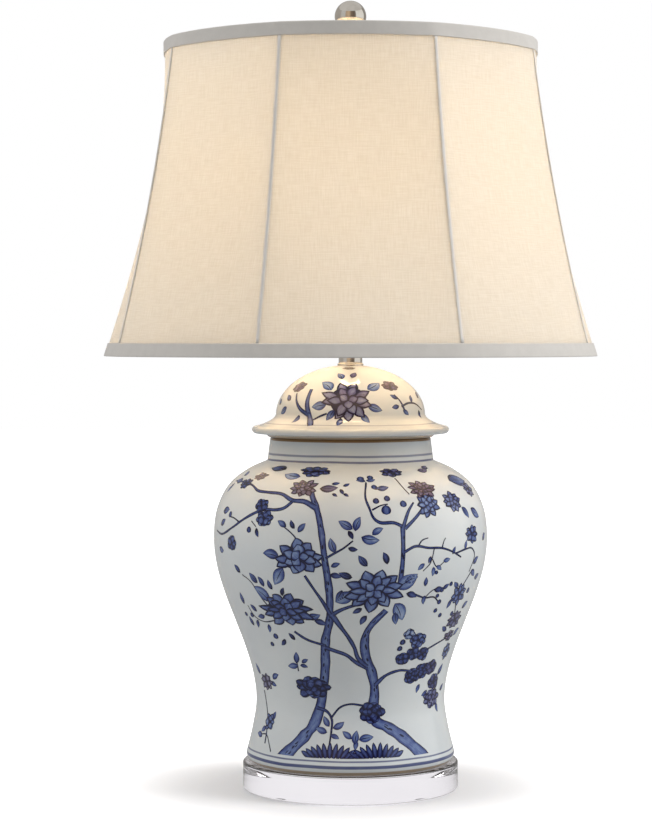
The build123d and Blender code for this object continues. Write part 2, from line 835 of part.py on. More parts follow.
def polar(radius, degrees, z):
    a = math.radians(degrees)
    return (radius * math.cos(a), radius * math.sin(a), z)


def panel_arc(index, z, inset):
    """The bowed line of one side, from a seam to the next, inset from the shade's outside."""
    first, last = seam_angle(index), seam_angle(index + 1)
    corner, middle = seam_radius(z) - inset, mid_radius(z) - inset
    return ThreePointArc(
        polar(corner, first, z), polar(middle, (first + last) / 2, z), polar(corner, last, z))


def panel_levels(low, high):
    """Heights of a panel's cross-sections, closer together near the rings."""
    return [low + (high - low) * t for t in (0.0, 0.05, 0.16, 0.35, 0.65, 0.84, 0.95, 1.0)]


def panel(index, levels, outer_inset, inner_inset):
    """One cloth panel between two seams, as thick as the insets are apart."""
    wires = []
    for z in levels:
        outer = panel_arc(index, z, outer_inset)
        inner = panel_arc(index, z, inner_inset)
        wires.append(Wire([outer, Line(outer @ 1, inner @ 1), inner, Line(inner @ 0, outer @ 0)]))
    return Solid.make_loft(wires)


def panels(outer_inset, inner_inset):
    levels = panel_levels(panel_low, panel_high)
    return [panel(i, levels, outer_inset, inner_inset) for i in range(shade_side_count)]


panel_low = shade_bottom + panel_end_inset
panel_high = shade_top - panel_end_inset
wire_room = max(ring_wire, spider_wire) / 2 + frame_gap
lining_inset = panel_cloth + ring_wire + 2 * frame_gap
lining_inner_inset = lining_inset + lining_cloth
ring_inset = panel_cloth + frame_gap + ring_wire / 2
top_ring_z = panel_high - wire_room
bottom_ring_z = panel_low + ring_wire / 2 + frame_gap


def shade_panels():
    return panels(0, panel_cloth)


def arm_angles():
    """The spider's arms run to every second seam."""
    return [seam_angle(i * shade_side_count // spider_arm_count) for i in range(spider_arm_count)]


def arm_notches():
    """Room for the arms where they pass the lining and the tape's inner side."""
    width = spider_wire + 2 * notch_clearance
    length = lining_inner_inset + trim_inner_cloth + 2 * spider_wire
    start = seam_radius(top_ring_z) - length
    low = top_ring_z - wire_room - notch_clearance
    block = Box(length - ring_inset, width, panel_high - low, align=(Align.MIN, Align.CENTER, Align.MIN))
    return [Rot(0, 0, angle) * Pos(start, 0, low) * block for angle in arm_angles()]


def shade_lining():
    notches = arm_notches()
    cloth = []
    for gore in panels(lining_inset, lining_inner_inset):
        for notch in notches:
            gore = gore - notch
        cloth.append(gore)
    return cloth


def ring(z):
    """A frame ring: one wire with a round bend at every seam, joined in the middle of a side."""
    sides = [panel_arc(i, z, ring_inset) for i in range(shade_side_count)]
    path = Wire([sides[0].trim(0.5, 1)] + sides[1:] + [sides[0].trim(0, 0.5)])
    middle = sides[0] @ 0.5
    section = Plane(origin=middle, z_dir=sides[0] % 0.5) * Circle(ring_wire / 2)
    return sweep(section, path, transition=Transition.ROUND)


def shade_bottom_ring():
    return ring(bottom_ring_z)


def spider_arm(angle):
    """Out from the washer, up, and level again into the ring."""
    arm_z = (washer_seat + washer_top) / 2
    reach = seam_radius(top_ring_z) - ring_inset
    path = FilletPolyline(
        polar(washer_outer_radius - spider_wire / 2, angle, arm_z),
        polar(reach - spider_bend_inset, angle, arm_z),
        polar(reach - spider_level_end, angle, top_ring_z),
        polar(reach, angle, top_ring_z),
        radius=spider_bend,
    )
    return sweep(Plane(origin=path @ 0, z_dir=path % 0) * Circle(spider_wire / 2), path)


def shade_spider():
    """Top ring, arms and washer, welded together."""
    washer = tube(washer_outer_radius, stud_radius + washer_bore_clearance, washer_seat, washer_top)
    arms = [spider_arm(angle) for angle in arm_angles()]
    return ring(top_ring_z).fuse(washer, *arms)


def shade_ribs():
    """One bowed wire at each seam, between the two rings."""
    low = bottom_ring_z + ring_wire / 2 + frame_gap
    high = top_ring_z - wire_room
    inset = panel_cloth + frame_gap + rib_wire / 2
    ribs = []
    for i in range(shade_side_count):
        angle = seam_angle(i)
        middle = (low + high) / 2
        path = ThreePointArc(*[polar(seam_radius(z) - inset, angle, z) for z in (low, middle, high)])
        ribs.append(sweep(Plane(origin=path @ 0, z_dir=path % 0) * Circle(rib_wire / 2), path))
    return ribs


def loop_solid(levels):
    """A ruled solid of the shade's outline through (height, inset) levels."""
    wires = [Wire([panel_arc(i, z, inset) for i in range(shade_side_count)]) for z, inset in levels]
    return Solid.make_loft(wires, True)


def edge_trim(edge, inwards):
    """A folded tape over a ring, from the shade's edge height; inwards is -1 at the top, 1 at the bottom."""
    outer_foot = edge + inwards * trim_height
    inner_foot = edge + inwards * trim_inner_height
    fold = edge + inwards * trim_top
    past = outer_foot + inwards
    before = edge - inwards
    soft = trim_cloth / 2
    inner_side = lining_inner_inset + trim_ease
    outside = loop_solid([
        (edge, soft), (edge + inwards * soft, -soft), (edge + inwards * 2 * soft, -trim_cloth),
        (outer_foot - inwards * soft, -trim_cloth), (outer_foot, -soft),
    ])
    hollow = loop_solid([(before, inner_side + trim_inner_cloth), (past, inner_side + trim_inner_cloth)])
    core = loop_solid([(fold, inner_side), (inner_foot, inner_side)])
    pocket = loop_solid([(fold, -trim_ease), (past, -trim_ease)])
    inner_leg = core - hollow
    return (outside - hollow - pocket) + inner_leg


def shade_top_trim():
    """The top tape, with a notch for each arm of the spider."""
    tape = edge_trim(shade_top, -1)
    for notch in arm_notches():
        tape = tape - notch
    return tape


def shade_bottom_trim():
    return edge_trim(shade_bottom, 1)


def shade_seam_tapes():
    """A narrow tape over each seam, from trim to trim."""
    low = shade_bottom + trim_height + frame_gap
    high = shade_top - trim_height - frame_gap
    half = seam_tape_width / 2
    tapes = []
    for i in range(shade_side_count):
        angle = seam_angle(i)
        wires = []
        for z in panel_levels(low, high):
            inner = seam_radius(z) + frame_gap
            outer = inner + seam_tape_thickness
            corners = [(inner, -half), (outer, -half), (outer, half), (inner, half)]
            points = [Vector(r, w, z).rotate(Axis.Z, angle) for r, w in corners]
            wires.append(Wire(Polyline(*points, close=True).edges()))
        tapes.append(Solid.make_loft(wires))
    return tapes


# ---------------------------------------------------------------- finial

ball_flat_z = washer_top + finial_stem_height
ball_centre = ball_flat_z + ball_radius - ball_flat_depth


def finial_ball():
    ball = Location((0, 0, ball_centre)) * Sphere(ball_radius)
    below = rod_shape(ball_radius, ball_flat_z - ball_radius, ball_flat_z)
    return ball - below


def finial_stem():
    """A foot on the spider's washer, a hollow waist and a cup under the ball, bored for the stud."""
    foot_top = washer_top + finial_base_height
    bore_top = washer_top + stud_length - spider_washer_thickness + finial_bore_end_gap
    foot_edge = at(finial_base_radius, foot_top)
    waist = at(finial_waist_radius, (foot_top + ball_flat_z) / 2)
    cup = at(finial_cup_radius, ball_flat_z)
    edges = [
        Line(at(0, washer_top), at(finial_base_radius, washer_top)),
        Line(at(finial_base_radius, washer_top), foot_edge),
        Spline(foot_edge, waist, cup),
        Line(cup, at(0, ball_flat_z)),
        Line(at(0, ball_flat_z), at(0, washer_top)),
    ]
    stem = revolve(make_face(Wire(edges)), Axis.Z)
    return stem - rod_shape(stud_radius + finial_bore_clearance, washer_top - cut_past, bore_top)


# ---------------------------------------------------------------- write every node

NODES = {
    "acrylic_base": acrylic_base, "base_bumpers": base_bumpers, "foot_bond": foot_bond,
    "jar": jar, "cord_bushing": cord_bushing, "jar_lid": jar_lid,
    "lamp_rod": lamp_rod, "rod_gasket": rod_gasket, "rod_washer": rod_washer, "rod_nut": rod_nut,
    "neck": neck, "harp_saddle": harp_saddle, "saddle_nut": saddle_nut,
    "harp": harp, "harp_stud": harp_stud,
    "socket_cap": socket_cap, "cap_set_screw": cap_set_screw, "socket_shell": socket_shell,
    "socket_liner": socket_liner, "socket_body": socket_body, "terminal_screws": terminal_screws,
    "screw_shell": screw_shell, "centre_contact": centre_contact,
    "switch_shaft": switch_shaft, "switch_knob": switch_knob,
    "bulb_contact": bulb_contact, "bulb_insulator": bulb_insulator, "bulb_cap": bulb_cap,
    "bulb_glass": bulb_glass, "bulb_stem": bulb_stem, "bulb_filament": bulb_filament,
    "shade_spider": shade_spider, "shade_bottom_ring": shade_bottom_ring, "shade_ribs": shade_ribs,
    "shade_panels": shade_panels, "shade_lining": shade_lining,
    "shade_top_trim": shade_top_trim, "shade_bottom_trim": shade_bottom_trim,
    "shade_seam_tapes": shade_seam_tapes,
    "finial_ball": finial_ball, "finial_stem": finial_stem,
}

os.makedirs("parts", exist_ok=True)
for node, make in NODES.items():
    save(node, make())
save("harp_sleeve_front", harp_sleeve(-1))
save("harp_sleeve_back", harp_sleeve(1))
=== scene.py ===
"""Looks of a ginger jar table lamp: a painted porcelain jar and lid on a clear acrylic disc, a nickel neck
and finial, and a panelled linen shade over a lit bulb.

Frame: z = 0 is the table under the lamp's axis and the front is towards -Y. Sizes are in millimetres and
turn to metres where a mesh is written. Angles on the jar are degrees to the right of the front.
"""

import math

import bmesh
import bpy
import numpy as np
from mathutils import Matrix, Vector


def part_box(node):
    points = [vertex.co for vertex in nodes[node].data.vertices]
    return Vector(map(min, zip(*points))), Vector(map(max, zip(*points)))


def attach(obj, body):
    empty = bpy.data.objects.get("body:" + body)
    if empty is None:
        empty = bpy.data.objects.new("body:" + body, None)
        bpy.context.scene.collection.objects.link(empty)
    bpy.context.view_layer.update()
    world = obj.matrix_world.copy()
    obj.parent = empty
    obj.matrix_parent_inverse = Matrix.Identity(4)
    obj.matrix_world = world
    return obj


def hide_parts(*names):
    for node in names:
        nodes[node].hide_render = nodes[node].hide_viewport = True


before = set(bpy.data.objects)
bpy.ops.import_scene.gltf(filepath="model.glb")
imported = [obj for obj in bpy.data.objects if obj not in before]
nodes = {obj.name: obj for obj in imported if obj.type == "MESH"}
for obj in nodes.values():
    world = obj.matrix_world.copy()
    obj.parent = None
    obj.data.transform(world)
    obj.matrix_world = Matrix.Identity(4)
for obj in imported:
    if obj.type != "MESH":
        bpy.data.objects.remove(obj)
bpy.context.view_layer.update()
MM = 0.001


def heights(node):
    """Lowest and highest z of a CAD node, in millimetres."""
    low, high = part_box(node)
    return low.z / MM, high.z / MM


# ---------------------------------------------------------------- sizes (mm, degrees)

# heights from the frame
base_bottom, base_top = heights("acrylic_base")
jar_bottom, lid_seat = heights("jar")
lid_foot, lid_top = heights("jar_lid")
neck_foot, neck_top = heights("neck")
bulb_foot, bulb_top = heights("bulb_glass")
shade_bottom = heights("shade_bottom_trim")[0]
shade_top = heights("shade_top_trim")[1]
stem_foot, ball_seat = heights("finial_stem")
ball_top = heights("finial_ball")[1]

# acrylic disc
base_radius = 101.6
base_edge_round = 2.0

# jar, radii of the outside and heights above its foot
jar_wall = 5.0
foot_radius = 98.2
foot_round = 4.0
foot_bulge = 1.1
foot_line = 8.0
foot_flare_slope = 0.2
waist_radius = 89.0
waist_height = 57.0
belly_radius = 129.2
belly_height = 209.0
shoulder_height = 283.0
shoulder_shape = [(0.38, 0.06), (0.69, 0.285), (0.885, 0.635), (1.0, 1.0)]
neck_root_radius = 78.6
mouth_radius = 75.8
mouth_round = 2.0
jar_floor = 12.0
jar_floor_thickness = 7.0
foot_ring_width = 9.0
pipe_hole = 4.9
bushing_height = 34.0
bushing_hole = 5.0

# lid
lid_wall = 4.5
brim_radius = 93.2
brim_edge = 6.7
brim_underside = 2.2
brim_round = 3.4
dome_radius = 70.5
dome_foot = 21.0
lid_flat_radius = 12.5
lid_hole = 8.0
lip_radius = 69.8
lip_wall = 4.0

# nickel neck
neck_radius = 11.2
neck_wall = 1.2
neck_end = 3.0
neck_bead = 1.1
neck_bead_height = 2.4
spigot_radius = 7.7

# bulb
bulb_radius = 30.0
bulb_widest = bulb_top - 33.0
bulb_neck_radius = 12.0
bulb_neck_top = bulb_top - 81.9
bulb_wall = 0.9

# shade: eight bowed panels between bowed seams
side_count = 8
shade_turn = 24.7
shade_top_radius = 178.0
shade_bottom_radius = 234.0
seam_bow = 5.0
flat_top = 0.2
flat_bottom = 0.15
flat_gain = 0.65
flat_rise = 1.5
panel_end = 1.0
ring_depth = 4.8
lining_inset = 3.6
trim_height = 12.4
trim_inner_height = 10.0
trim_cloth = 1.4
trim_inner_face = 4.9
trim_inner_cloth = 1.0
tape_width = 3.0
tape_thickness = 0.7
cloth_gap = 0.1
# metres between the gores' middles on the UV, so that no two are woven alike
gore_spacing = 0.4

# finial
ball_radius = 15.0
stem_base_radius = 8.0
stem_base_height = 2.6
stem_waist_radius = 4.9
stem_cup_radius = 6.2
stem_hole = 3.3
stem_hole_depth = 11.5

# fineness: segments round the axis, and millimetres between the points of an outline
disc_segments, disc_step = 256, 4.0
jar_segments, jar_step = 256, 2.6
lid_segments, lid_step = 320, 2.2
neck_segments, neck_step = 96, 1.5
stem_segments, stem_step = 96, 1.2
bulb_segments = 96
ball_segments = 128
drill_segments = 48
band_step = 1.6

# camera, from the photograph: level, on the lamp's front
camera_distance = 2321.0
camera_height = 425.5
camera_lens = 107.04
sensor = 36.0
shift_right = -0.0297
shift_up = -0.0898


# ---------------------------------------------------------------- outlines and meshes

def smooth(t):
    return t * t * (3 - 2 * t)


def smooth_line(knots, per_span=10):
    """A centripetal Catmull-Rom curve: each span is a cubic whose end slopes come from its neighbours."""
    knots = np.array(knots, float)
    ends = np.vstack([2 * knots[0] - knots[1], knots, 2 * knots[-1] - knots[-2]])
    steps = np.sqrt(np.linalg.norm(np.diff(ends, axis=0), axis=1))
    t = np.linspace(0, 1, per_span, endpoint=False)[:, None]
    spans = []
    for i in range(len(knots) - 1):
        before, start, end, after = ends[i:i + 4]
        a, b, c = steps[i:i + 3]
        leave = ((start - before) / a - (end - before) / (a + b) + (end - start) / b) * b
        arrive = ((end - start) / b - (after - start) / (b + c) + (after - end) / c) * b
        spans.append(
            (2 * t ** 3 - 3 * t ** 2 + 1) * start + (t ** 3 - 2 * t ** 2 + t) * leave
            + (3 * t ** 2 - 2 * t ** 3) * end + (t ** 3 - t ** 2) * arrive
        )
    return np.vstack(spans + [knots[-1:]])


def rounded(corners, closed=True, steps=6):
    """An outline of (radius, height, rounding) corners. Each rounding is an arc tangent to both its sides."""
    corners = np.array(corners, float)
    count = len(corners)
    made = []
    for i, (x, y, size) in enumerate(corners):
        here = np.array([x, y])
        if size == 0 or (not closed and i in (0, count - 1)):
            made.append(here[None])
            continue
        back = corners[i - 1, :2] - here
        ahead = corners[(i + 1) % count, :2] - here
        back = back / np.linalg.norm(back)
        ahead = ahead / np.linalg.norm(ahead)
        half = math.acos(np.clip(back @ ahead, -1, 1)) / 2
        middle = here + (back + ahead) / np.linalg.norm(back + ahead) * size / math.sin(half)
        start = here + back * size / math.tan(half) - middle
        end = here + ahead * size / math.tan(half) - middle
        sweep = math.pi - 2 * half
        share = np.linspace(0, 1, steps + 1)[:, None]
        arc = np.sin((1 - share) * sweep) * start + np.sin(share * sweep) * end
        made.append(middle + arc / math.sin(sweep))
    return np.vstack(made)


def dense(outline, step, closed=True):
    """The same outline with more points on its long stretches, so that smooth shading keeps them flat."""
    outline = np.array(outline, float)
    if closed:
        outline = np.vstack([outline, outline[:1]])
    lengths = np.linalg.norm(np.diff(outline, axis=0), axis=1)
    parts = [
        np.linspace(a, b, max(math.ceil(length / step), 1), endpoint=False)
        for a, b, length in zip(outline, outline[1:], lengths) if length > 1e-6
    ]
    return np.vstack(parts if closed else parts + [outline[-1:]])


def grid_faces(rows, columns, close_rows=False, close_columns=False):
    """Four-sided faces between the neighbours of a grid. Columns turned towards rows give the outside."""
    i, j = np.meshgrid(
        np.arange(rows if close_rows else rows - 1),
        np.arange(columns if close_columns else columns - 1), indexing="ij")
    up, right = (i + 1) % rows, (j + 1) % columns
    corners = [i * columns + j, i * columns + right, up * columns + right, up * columns + j]
    return np.stack(corners, -1).reshape(-1, 4)


def mesh_piece(
        name, points, faces, body, material, slot=None, stands_for=(), uv=None, values=None, weld=False):
    """One piece: points in millimetres, faces by vertex number, a UV or named values for each vertex.
    weld joins the points that meet at a pole."""
    mesh = bpy.data.meshes.new(name)
    mesh.from_pydata((np.asarray(points) * MM).tolist(), [], np.asarray(faces).tolist())
    for key, column in (values or {}).items():
        mesh.attributes.new(key, "FLOAT", "POINT").data.foreach_set("value", np.asarray(column, np.float32))
    if uv is not None:
        corner = np.zeros(len(mesh.loops), np.int32)
        mesh.loops.foreach_get("vertex_index", corner)
        layer = mesh.uv_layers.new(name="UVMap")
        layer.data.foreach_set("uv", np.asarray(uv, np.float32)[corner].ravel())
    if weld:
        work = bmesh.new()
        work.from_mesh(mesh)
        bmesh.ops.remove_doubles(work, verts=work.verts, dist=1e-6)
        work.to_mesh(mesh)
        work.free()
    mesh.polygons.foreach_set("use_smooth", np.ones(len(mesh.polygons), bool))
    mesh.materials.append(material)
    mesh.update()
    piece = bpy.data.objects.new(name, mesh)
    bpy.context.scene.collection.objects.link(piece)
    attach(piece, body)
    if stands_for:
        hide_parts(*stands_for)
    return piece


def turned_piece(name, outline, body, material, segments=192, ring=False, **more):
    """A turned piece: outline is (radius, height) points with the material on their left, carried round the
    lamp's axis. A ring's outline closes on itself; another's starts and ends on the axis."""
    outline = np.array(outline, float)
    turn = np.arange(segments) * 2 * np.pi / segments
    radius, height = outline[:, :1], outline[:, 1:]
    points = np.stack([radius * np.cos(turn), radius * np.sin(turn), height + 0 * turn], -1)
    faces = grid_faces(len(outline), segments, ring, True)
    return mesh_piece(name, points.reshape(-1, 3), faces, body, material, weld=True, **more)


# ---------------------------------------------------------------- material helpers

def colour(text):
    """A linear colour from an sRGB hex value."""
    channels = [int(text[i:i + 2], 16) / 255 for i in (1, 3, 5)]
    linear = [c / 12.92 if c <= 0.04045 else ((c + 0.055) / 1.055) ** 2.4 for c in channels]
    return (*linear, 1.0)


def add(tree, kind, inputs=None, **settings):
    """Adds a shader node: settings are its properties, inputs its sockets' values, or the nodes or sockets
    that are linked to them. A node is linked by its first socket in use."""
    node = tree.nodes.new("ShaderNode" + kind)
    for key, value in settings.items():
        setattr(node, key, value)
    for key, value in (inputs or {}).items():
        if isinstance(value, bpy.types.Node):
            value = next(socket for socket in value.outputs if socket.enabled)
        if isinstance(value, bpy.types.NodeSocket):
            tree.links.new(value, node.inputs[key])
        else:
            node.inputs[key].default_value = value
    return node


def new_material(name):
    """An empty material and its tree."""
    material = bpy.data.materials.new(name)
    material.use_nodes = True
    material.node_tree.nodes.clear()
    return material, material.node_tree


def finish(name, base, tone, roughness, metallic=0.0, grain=3.0, bump=0.02, stretch=(1, 1, 1), **more):
    """A worked surface: two close tones in blotches of grain millimetres, a roughness that varies with them
    and a relief bump millimetres deep. stretch draws the grain out along an axis."""
    material, tree = new_material(name)
    where = add(tree, "TexCoord").outputs["Object"]
    drawn_out = add(tree, "Mapping", {"Vector": where, "Scale": tuple(1 / s for s in stretch)})
    cloud = add(tree, "TexNoise", {"Vector": drawn_out, "Scale": 1 / (grain * MM), "Detail": 3.0})
    fine = add(tree, "TexNoise", {"Vector": drawn_out, "Scale": 6 / (grain * MM), "Detail": 3.0})
    share = add(tree, "MapRange", {"Value": cloud, "From Min": 0.35, "From Max": 0.65})
    tones = add(tree, "Mix", {0: share, 6: colour(base), 7: colour(tone)}, data_type="RGBA")
    worn = add(tree, "MapRange", {
        "Value": fine, "From Min": 0.3, "From Max": 0.7,
        "To Min": roughness * 0.8, "To Max": roughness * 1.2})
    relief = add(tree, "Bump", {"Height": fine, "Distance": bump * MM, "Strength": 0.5})
    settings = {key.replace("_", " "): value for key, value in more.items()}
    shader = add(tree, "BsdfPrincipled", {
        "Base Color": tones, "Roughness": worn, "Normal": relief, "Metallic": metallic, **settings})
    add(tree, "OutputMaterial", {"Surface": shader})
    return material


# ---------------------------------------------------------------- materials

def glazed_porcelain(name, lines, bare_above=None, bare_and_shaded_below=None):
    """Porcelain under a clear feldspar glaze: cool white, very smooth, with faint pooling and iron specks.
    lines are cobalt bands brushed on the wheel, as (height, half width, strength). The dressed mouth rim
    is brown above bare_above. Under bare_and_shaded_below the surface is raw-clay tan, which on the jar's
    foot is also painted shade for the shadow under the foot's roll."""
    material, tree = new_material(name)
    where = add(tree, "TexCoord").outputs["Object"]
    pooling = add(tree, "TexNoise", {"Vector": where, "Scale": 1 / (60 * MM), "Detail": 2.0})
    pooled = add(tree, "MapRange", {"Value": pooling, "From Min": 0.35, "From Max": 0.65})
    speck = add(tree, "TexNoise", {"Vector": where, "Scale": 1 / (1.2 * MM), "Detail": 1.0})
    specks = add(tree, "MapRange", {"Value": speck, "From Min": 0.74, "From Max": 0.8, "To Max": 0.25})
    surface = add(tree, "Mix", {0: pooled, 6: colour("#DEE3E4"), 7: colour("#D8DEE1")}, data_type="RGBA")
    surface = add(tree, "Mix", {0: specks, 6: surface, 7: colour("#9DA6B8")}, data_type="RGBA")
    height = add(tree, "SeparateXYZ", {0: where}).outputs["Z"]
    waver = add(tree, "TexNoise", {"Vector": where, "Scale": 1 / (45 * MM), "Detail": 1.0})
    wavered = add(tree, "Math", {0: waver, 1: 1.2 * MM, 2: height}, operation="MULTIPLY_ADD")
    drawn_round = add(tree, "Mapping", {"Vector": where, "Scale": (0.25, 0.25, 1)})
    wash = add(tree, "TexNoise", {"Vector": drawn_round, "Scale": 1 / (6 * MM), "Detail": 2.0})
    thin = add(tree, "MapRange", {
        "Value": wash, "From Min": 0.2, "From Max": 0.8, "To Min": 0.85, "To Max": 1.0})
    waver_middle = 0.6
    for level, half, strength in lines:
        away = add(tree, "Math", {0: wavered, 1: (level + waver_middle) * MM}, operation="SUBTRACT")
        away = add(tree, "Math", {0: away}, operation="ABSOLUTE")
        band = add(tree, "MapRange", {
            "Value": away, "From Min": half * 0.7 * MM, "From Max": half * 1.25 * MM,
            "To Min": strength, "To Max": 0.0}, interpolation_type="SMOOTHSTEP")
        band = add(tree, "Math", {0: band, 1: thin}, operation="MULTIPLY")
        surface = add(tree, "Mix", {0: band, 6: surface, 7: colour("#2B3A74")}, data_type="RGBA")
    if bare_above is not None:
        bare = add(tree, "MapRange", {
            "Value": height, "From Min": bare_above * MM, "From Max": (bare_above + 0.5) * MM})
        surface = add(tree, "Mix", {0: bare, 6: surface, 7: colour("#8A6A42")}, data_type="RGBA")
    # raw-clay tan below this height; on the jar's foot it is also painted shade, darkened for the shadow
    # there
    if bare_and_shaded_below is not None:
        bare = add(tree, "MapRange", {
            "Value": height, "From Min": (bare_and_shaded_below - 0.5) * MM, "From Max": bare_and_shaded_below * MM,
            "To Min": 1.0, "To Max": 0.0})
        surface = add(tree, "Mix", {0: bare, 6: surface, 7: colour("#A5937C")}, data_type="RGBA")
    ripple = add(tree, "TexNoise", {"Vector": where, "Scale": 1 / (14 * MM), "Detail": 1.0})
    relief = add(tree, "Bump", {"Height": ripple, "Distance": 0.06 * MM, "Strength": 0.4})
    shader = add(tree, "BsdfPrincipled", {
        "Base Color": surface, "Normal": relief, "Roughness": glaze_gloss})
    add(tree, "OutputMaterial", {"Surface": shader})
    return material


def cobalt_painting():
    """Cobalt blue and a little manganese brown brushed on the raw body under the same glaze. Along a
    stroke's edge the pigment gathers in a dark line; inside it is a wash with the marks of the bristles,
    paler towards the middle. It reads each stroke's UV and its values: millimetres from its edge, tone, how
    bold its line is, and brown."""
    material, tree = new_material("cobalt_under_glaze")
    where = add(tree, "TexCoord").outputs["UV"]
    along = add(tree, "Mapping", {"Vector": where, "Scale": (0.14, 1, 1)})
    bristles = add(tree, "TexNoise", {"Vector": along, "Scale": 1 / (1.3 * MM), "Detail": 2.0})
    wash = add(tree, "TexNoise", {"Vector": where, "Scale": 1 / (5 * MM), "Detail": 2.0})
    hand = add(tree, "TexNoise", {"Vector": where, "Scale": 1 / (3 * MM), "Detail": 1.0})
    edge = add(tree, "Attribute", attribute_name="edge").outputs["Fac"]
    tone = add(tree, "Attribute", attribute_name="tone").outputs["Fac"]
    line = add(tree, "Attribute", attribute_name="line").outputs["Fac"]
    brown = add(tree, "Attribute", attribute_name="brown").outputs["Fac"]
    wavered = add(tree, "Math", {0: hand, 1: 0.8, 2: edge}, operation="MULTIPLY_ADD")
    inside = add(tree, "Math", {0: line, 1: -line_width, 2: wavered}, operation="MULTIPLY_ADD")
    outline = add(tree, "MapRange", {
        "Value": inside, "From Min": 0.15, "From Max": 0.75, "To Min": 1.0, "To Max": 0.0},
        interpolation_type="SMOOTHSTEP")
    paler = add(tree, "MapRange", {
        "Value": edge, "From Min": 0.6, "From Max": 3.6, "To Min": 0.14, "To Max": -0.2},
        interpolation_type="SMOOTHSTEP")
    amount = add(tree, "Math", {0: bristles, 1: 0.5, 2: tone}, operation="MULTIPLY_ADD")
    amount = add(tree, "Math", {0: wash, 1: 0.4, 2: amount}, operation="MULTIPLY_ADD")
    amount = add(tree, "Math", {0: amount, 1: paler}, operation="ADD")
    noise_middle = 0.45
    amount = add(tree, "Math", {0: amount, 1: noise_middle}, operation="SUBTRACT", use_clamp=True)
    amount = add(tree, "Mix", {0: outline, 2: amount, 3: 1.0}, data_type="FLOAT")
    pigments = []
    for stops in (cobalt_stops, manganese_stops):
        ramp = add(tree, "ValToRGB", {"Fac": amount})
        elements = ramp.color_ramp.elements
        elements[0].color = colour(stops[0][1])
        elements[-1].color = colour(stops[-1][1])
        for place, text in stops[1:-1]:
            elements.new(place).color = colour(text)
        pigments.append(ramp)
    surface = add(tree, "Mix", {0: brown, 6: pigments[0].outputs["Color"], 7: pigments[1].outputs["Color"]},
                  data_type="RGBA")
    shader = add(tree, "BsdfPrincipled", {
        "Base Color": surface, "Roughness": glaze_gloss})
    add(tree, "OutputMaterial", {"Surface": shader})
    return material


def cast_acrylic():
    """Clear cast acrylic with flame-polished edges: glass-clear, faintly lilac where it is thick. Light
    that only casts a shadow passes straight through, as it does through a clear block."""
    material, tree = new_material("cast_acrylic")
    where = add(tree, "TexCoord").outputs["Object"]
    haze = add(tree, "TexNoise", {"Vector": where, "Scale": 1 / (40 * MM)})
    share = add(tree, "MapRange", {"Value": haze, "From Min": 0.3, "From Max": 0.7})
    tint = add(tree, "Mix", {0: share, 6: colour("#F4F1F5"), 7: colour("#EFECF1")}, data_type="RGBA")
    shader = add(tree, "BsdfPrincipled", {
        "Base Color": tint, "Transmission Weight": 1.0, "IOR": 1.49, "Roughness": 0.015})
    shadow = add(tree, "LightPath").outputs["Is Shadow Ray"]
    clear = add(tree, "BsdfTransparent", {"Color": colour("#EFEDF0")})
    mixed = add(tree, "MixShader", {0: shadow, 1: shader, 2: clear})
    add(tree, "OutputMaterial", {"Surface": mixed})
    return material


def woven_cloth(name, light, dark, thread, share_through, through, bump, painted_bounce_glow=0.0):
    """Plain-woven cloth on UV in metres: two sets of threads crossing, each uneven along its length as spun
    linen is. Part of the light comes through the weave, in the colour given. painted_bounce_glow is a painted
    glow: the cloth's own warm emission, standing in for the bulb's light that bounces about behind it."""
    material, tree = new_material(name)
    where = add(tree, "TexCoord").outputs["UV"]
    across = add(tree, "Mapping", {"Vector": where, "Scale": (0.07, 1, 1)})
    up = add(tree, "Mapping", {"Vector": where, "Scale": (1, 0.07, 1)})
    weft = add(tree, "TexNoise", {"Vector": across, "Scale": 1 / (thread * MM), "Detail": 2.0})
    warp = add(tree, "TexNoise", {"Vector": up, "Scale": 1 / (thread * MM), "Detail": 2.0})
    crossed = add(tree, "Math", {0: weft, 1: warp}, operation="ADD")
    weave = add(tree, "MapRange", {"Value": crossed, "From Min": 0.75, "From Max": 1.25})
    cloud = add(tree, "TexNoise", {"Vector": where, "Scale": 1 / (35 * MM), "Detail": 2.0})
    faded = add(tree, "MapRange", {"Value": cloud, "From Min": 0.3, "From Max": 0.7, "To Max": 0.35})
    surface = add(tree, "Mix", {0: weave, 6: colour(dark), 7: colour(light)}, data_type="RGBA")
    surface = add(tree, "Mix", {0: faded, 6: surface, 7: colour(dark)}, data_type="RGBA")
    glow = add(tree, "Mix", {0: weave, 6: colour(through[1]), 7: colour(through[0])}, data_type="RGBA")
    relief = add(tree, "Bump", {"Height": weave, "Distance": bump * MM, "Strength": 0.4})
    shader = add(tree, "BsdfPrincipled", {
        "Base Color": surface, "Normal": relief, "Roughness": 0.9, "Sheen Weight": 0.1,
        "Specular IOR Level": 0.2, "Emission Color": colour("#FFD6A4"), "Emission Strength": painted_bounce_glow})
    lit = add(tree, "BsdfTranslucent", {"Color": glow})
    mixed = add(tree, "MixShader", {0: share_through, 1: shader, 2: lit})
    add(tree, "OutputMaterial", {"Surface": mixed})
    return material


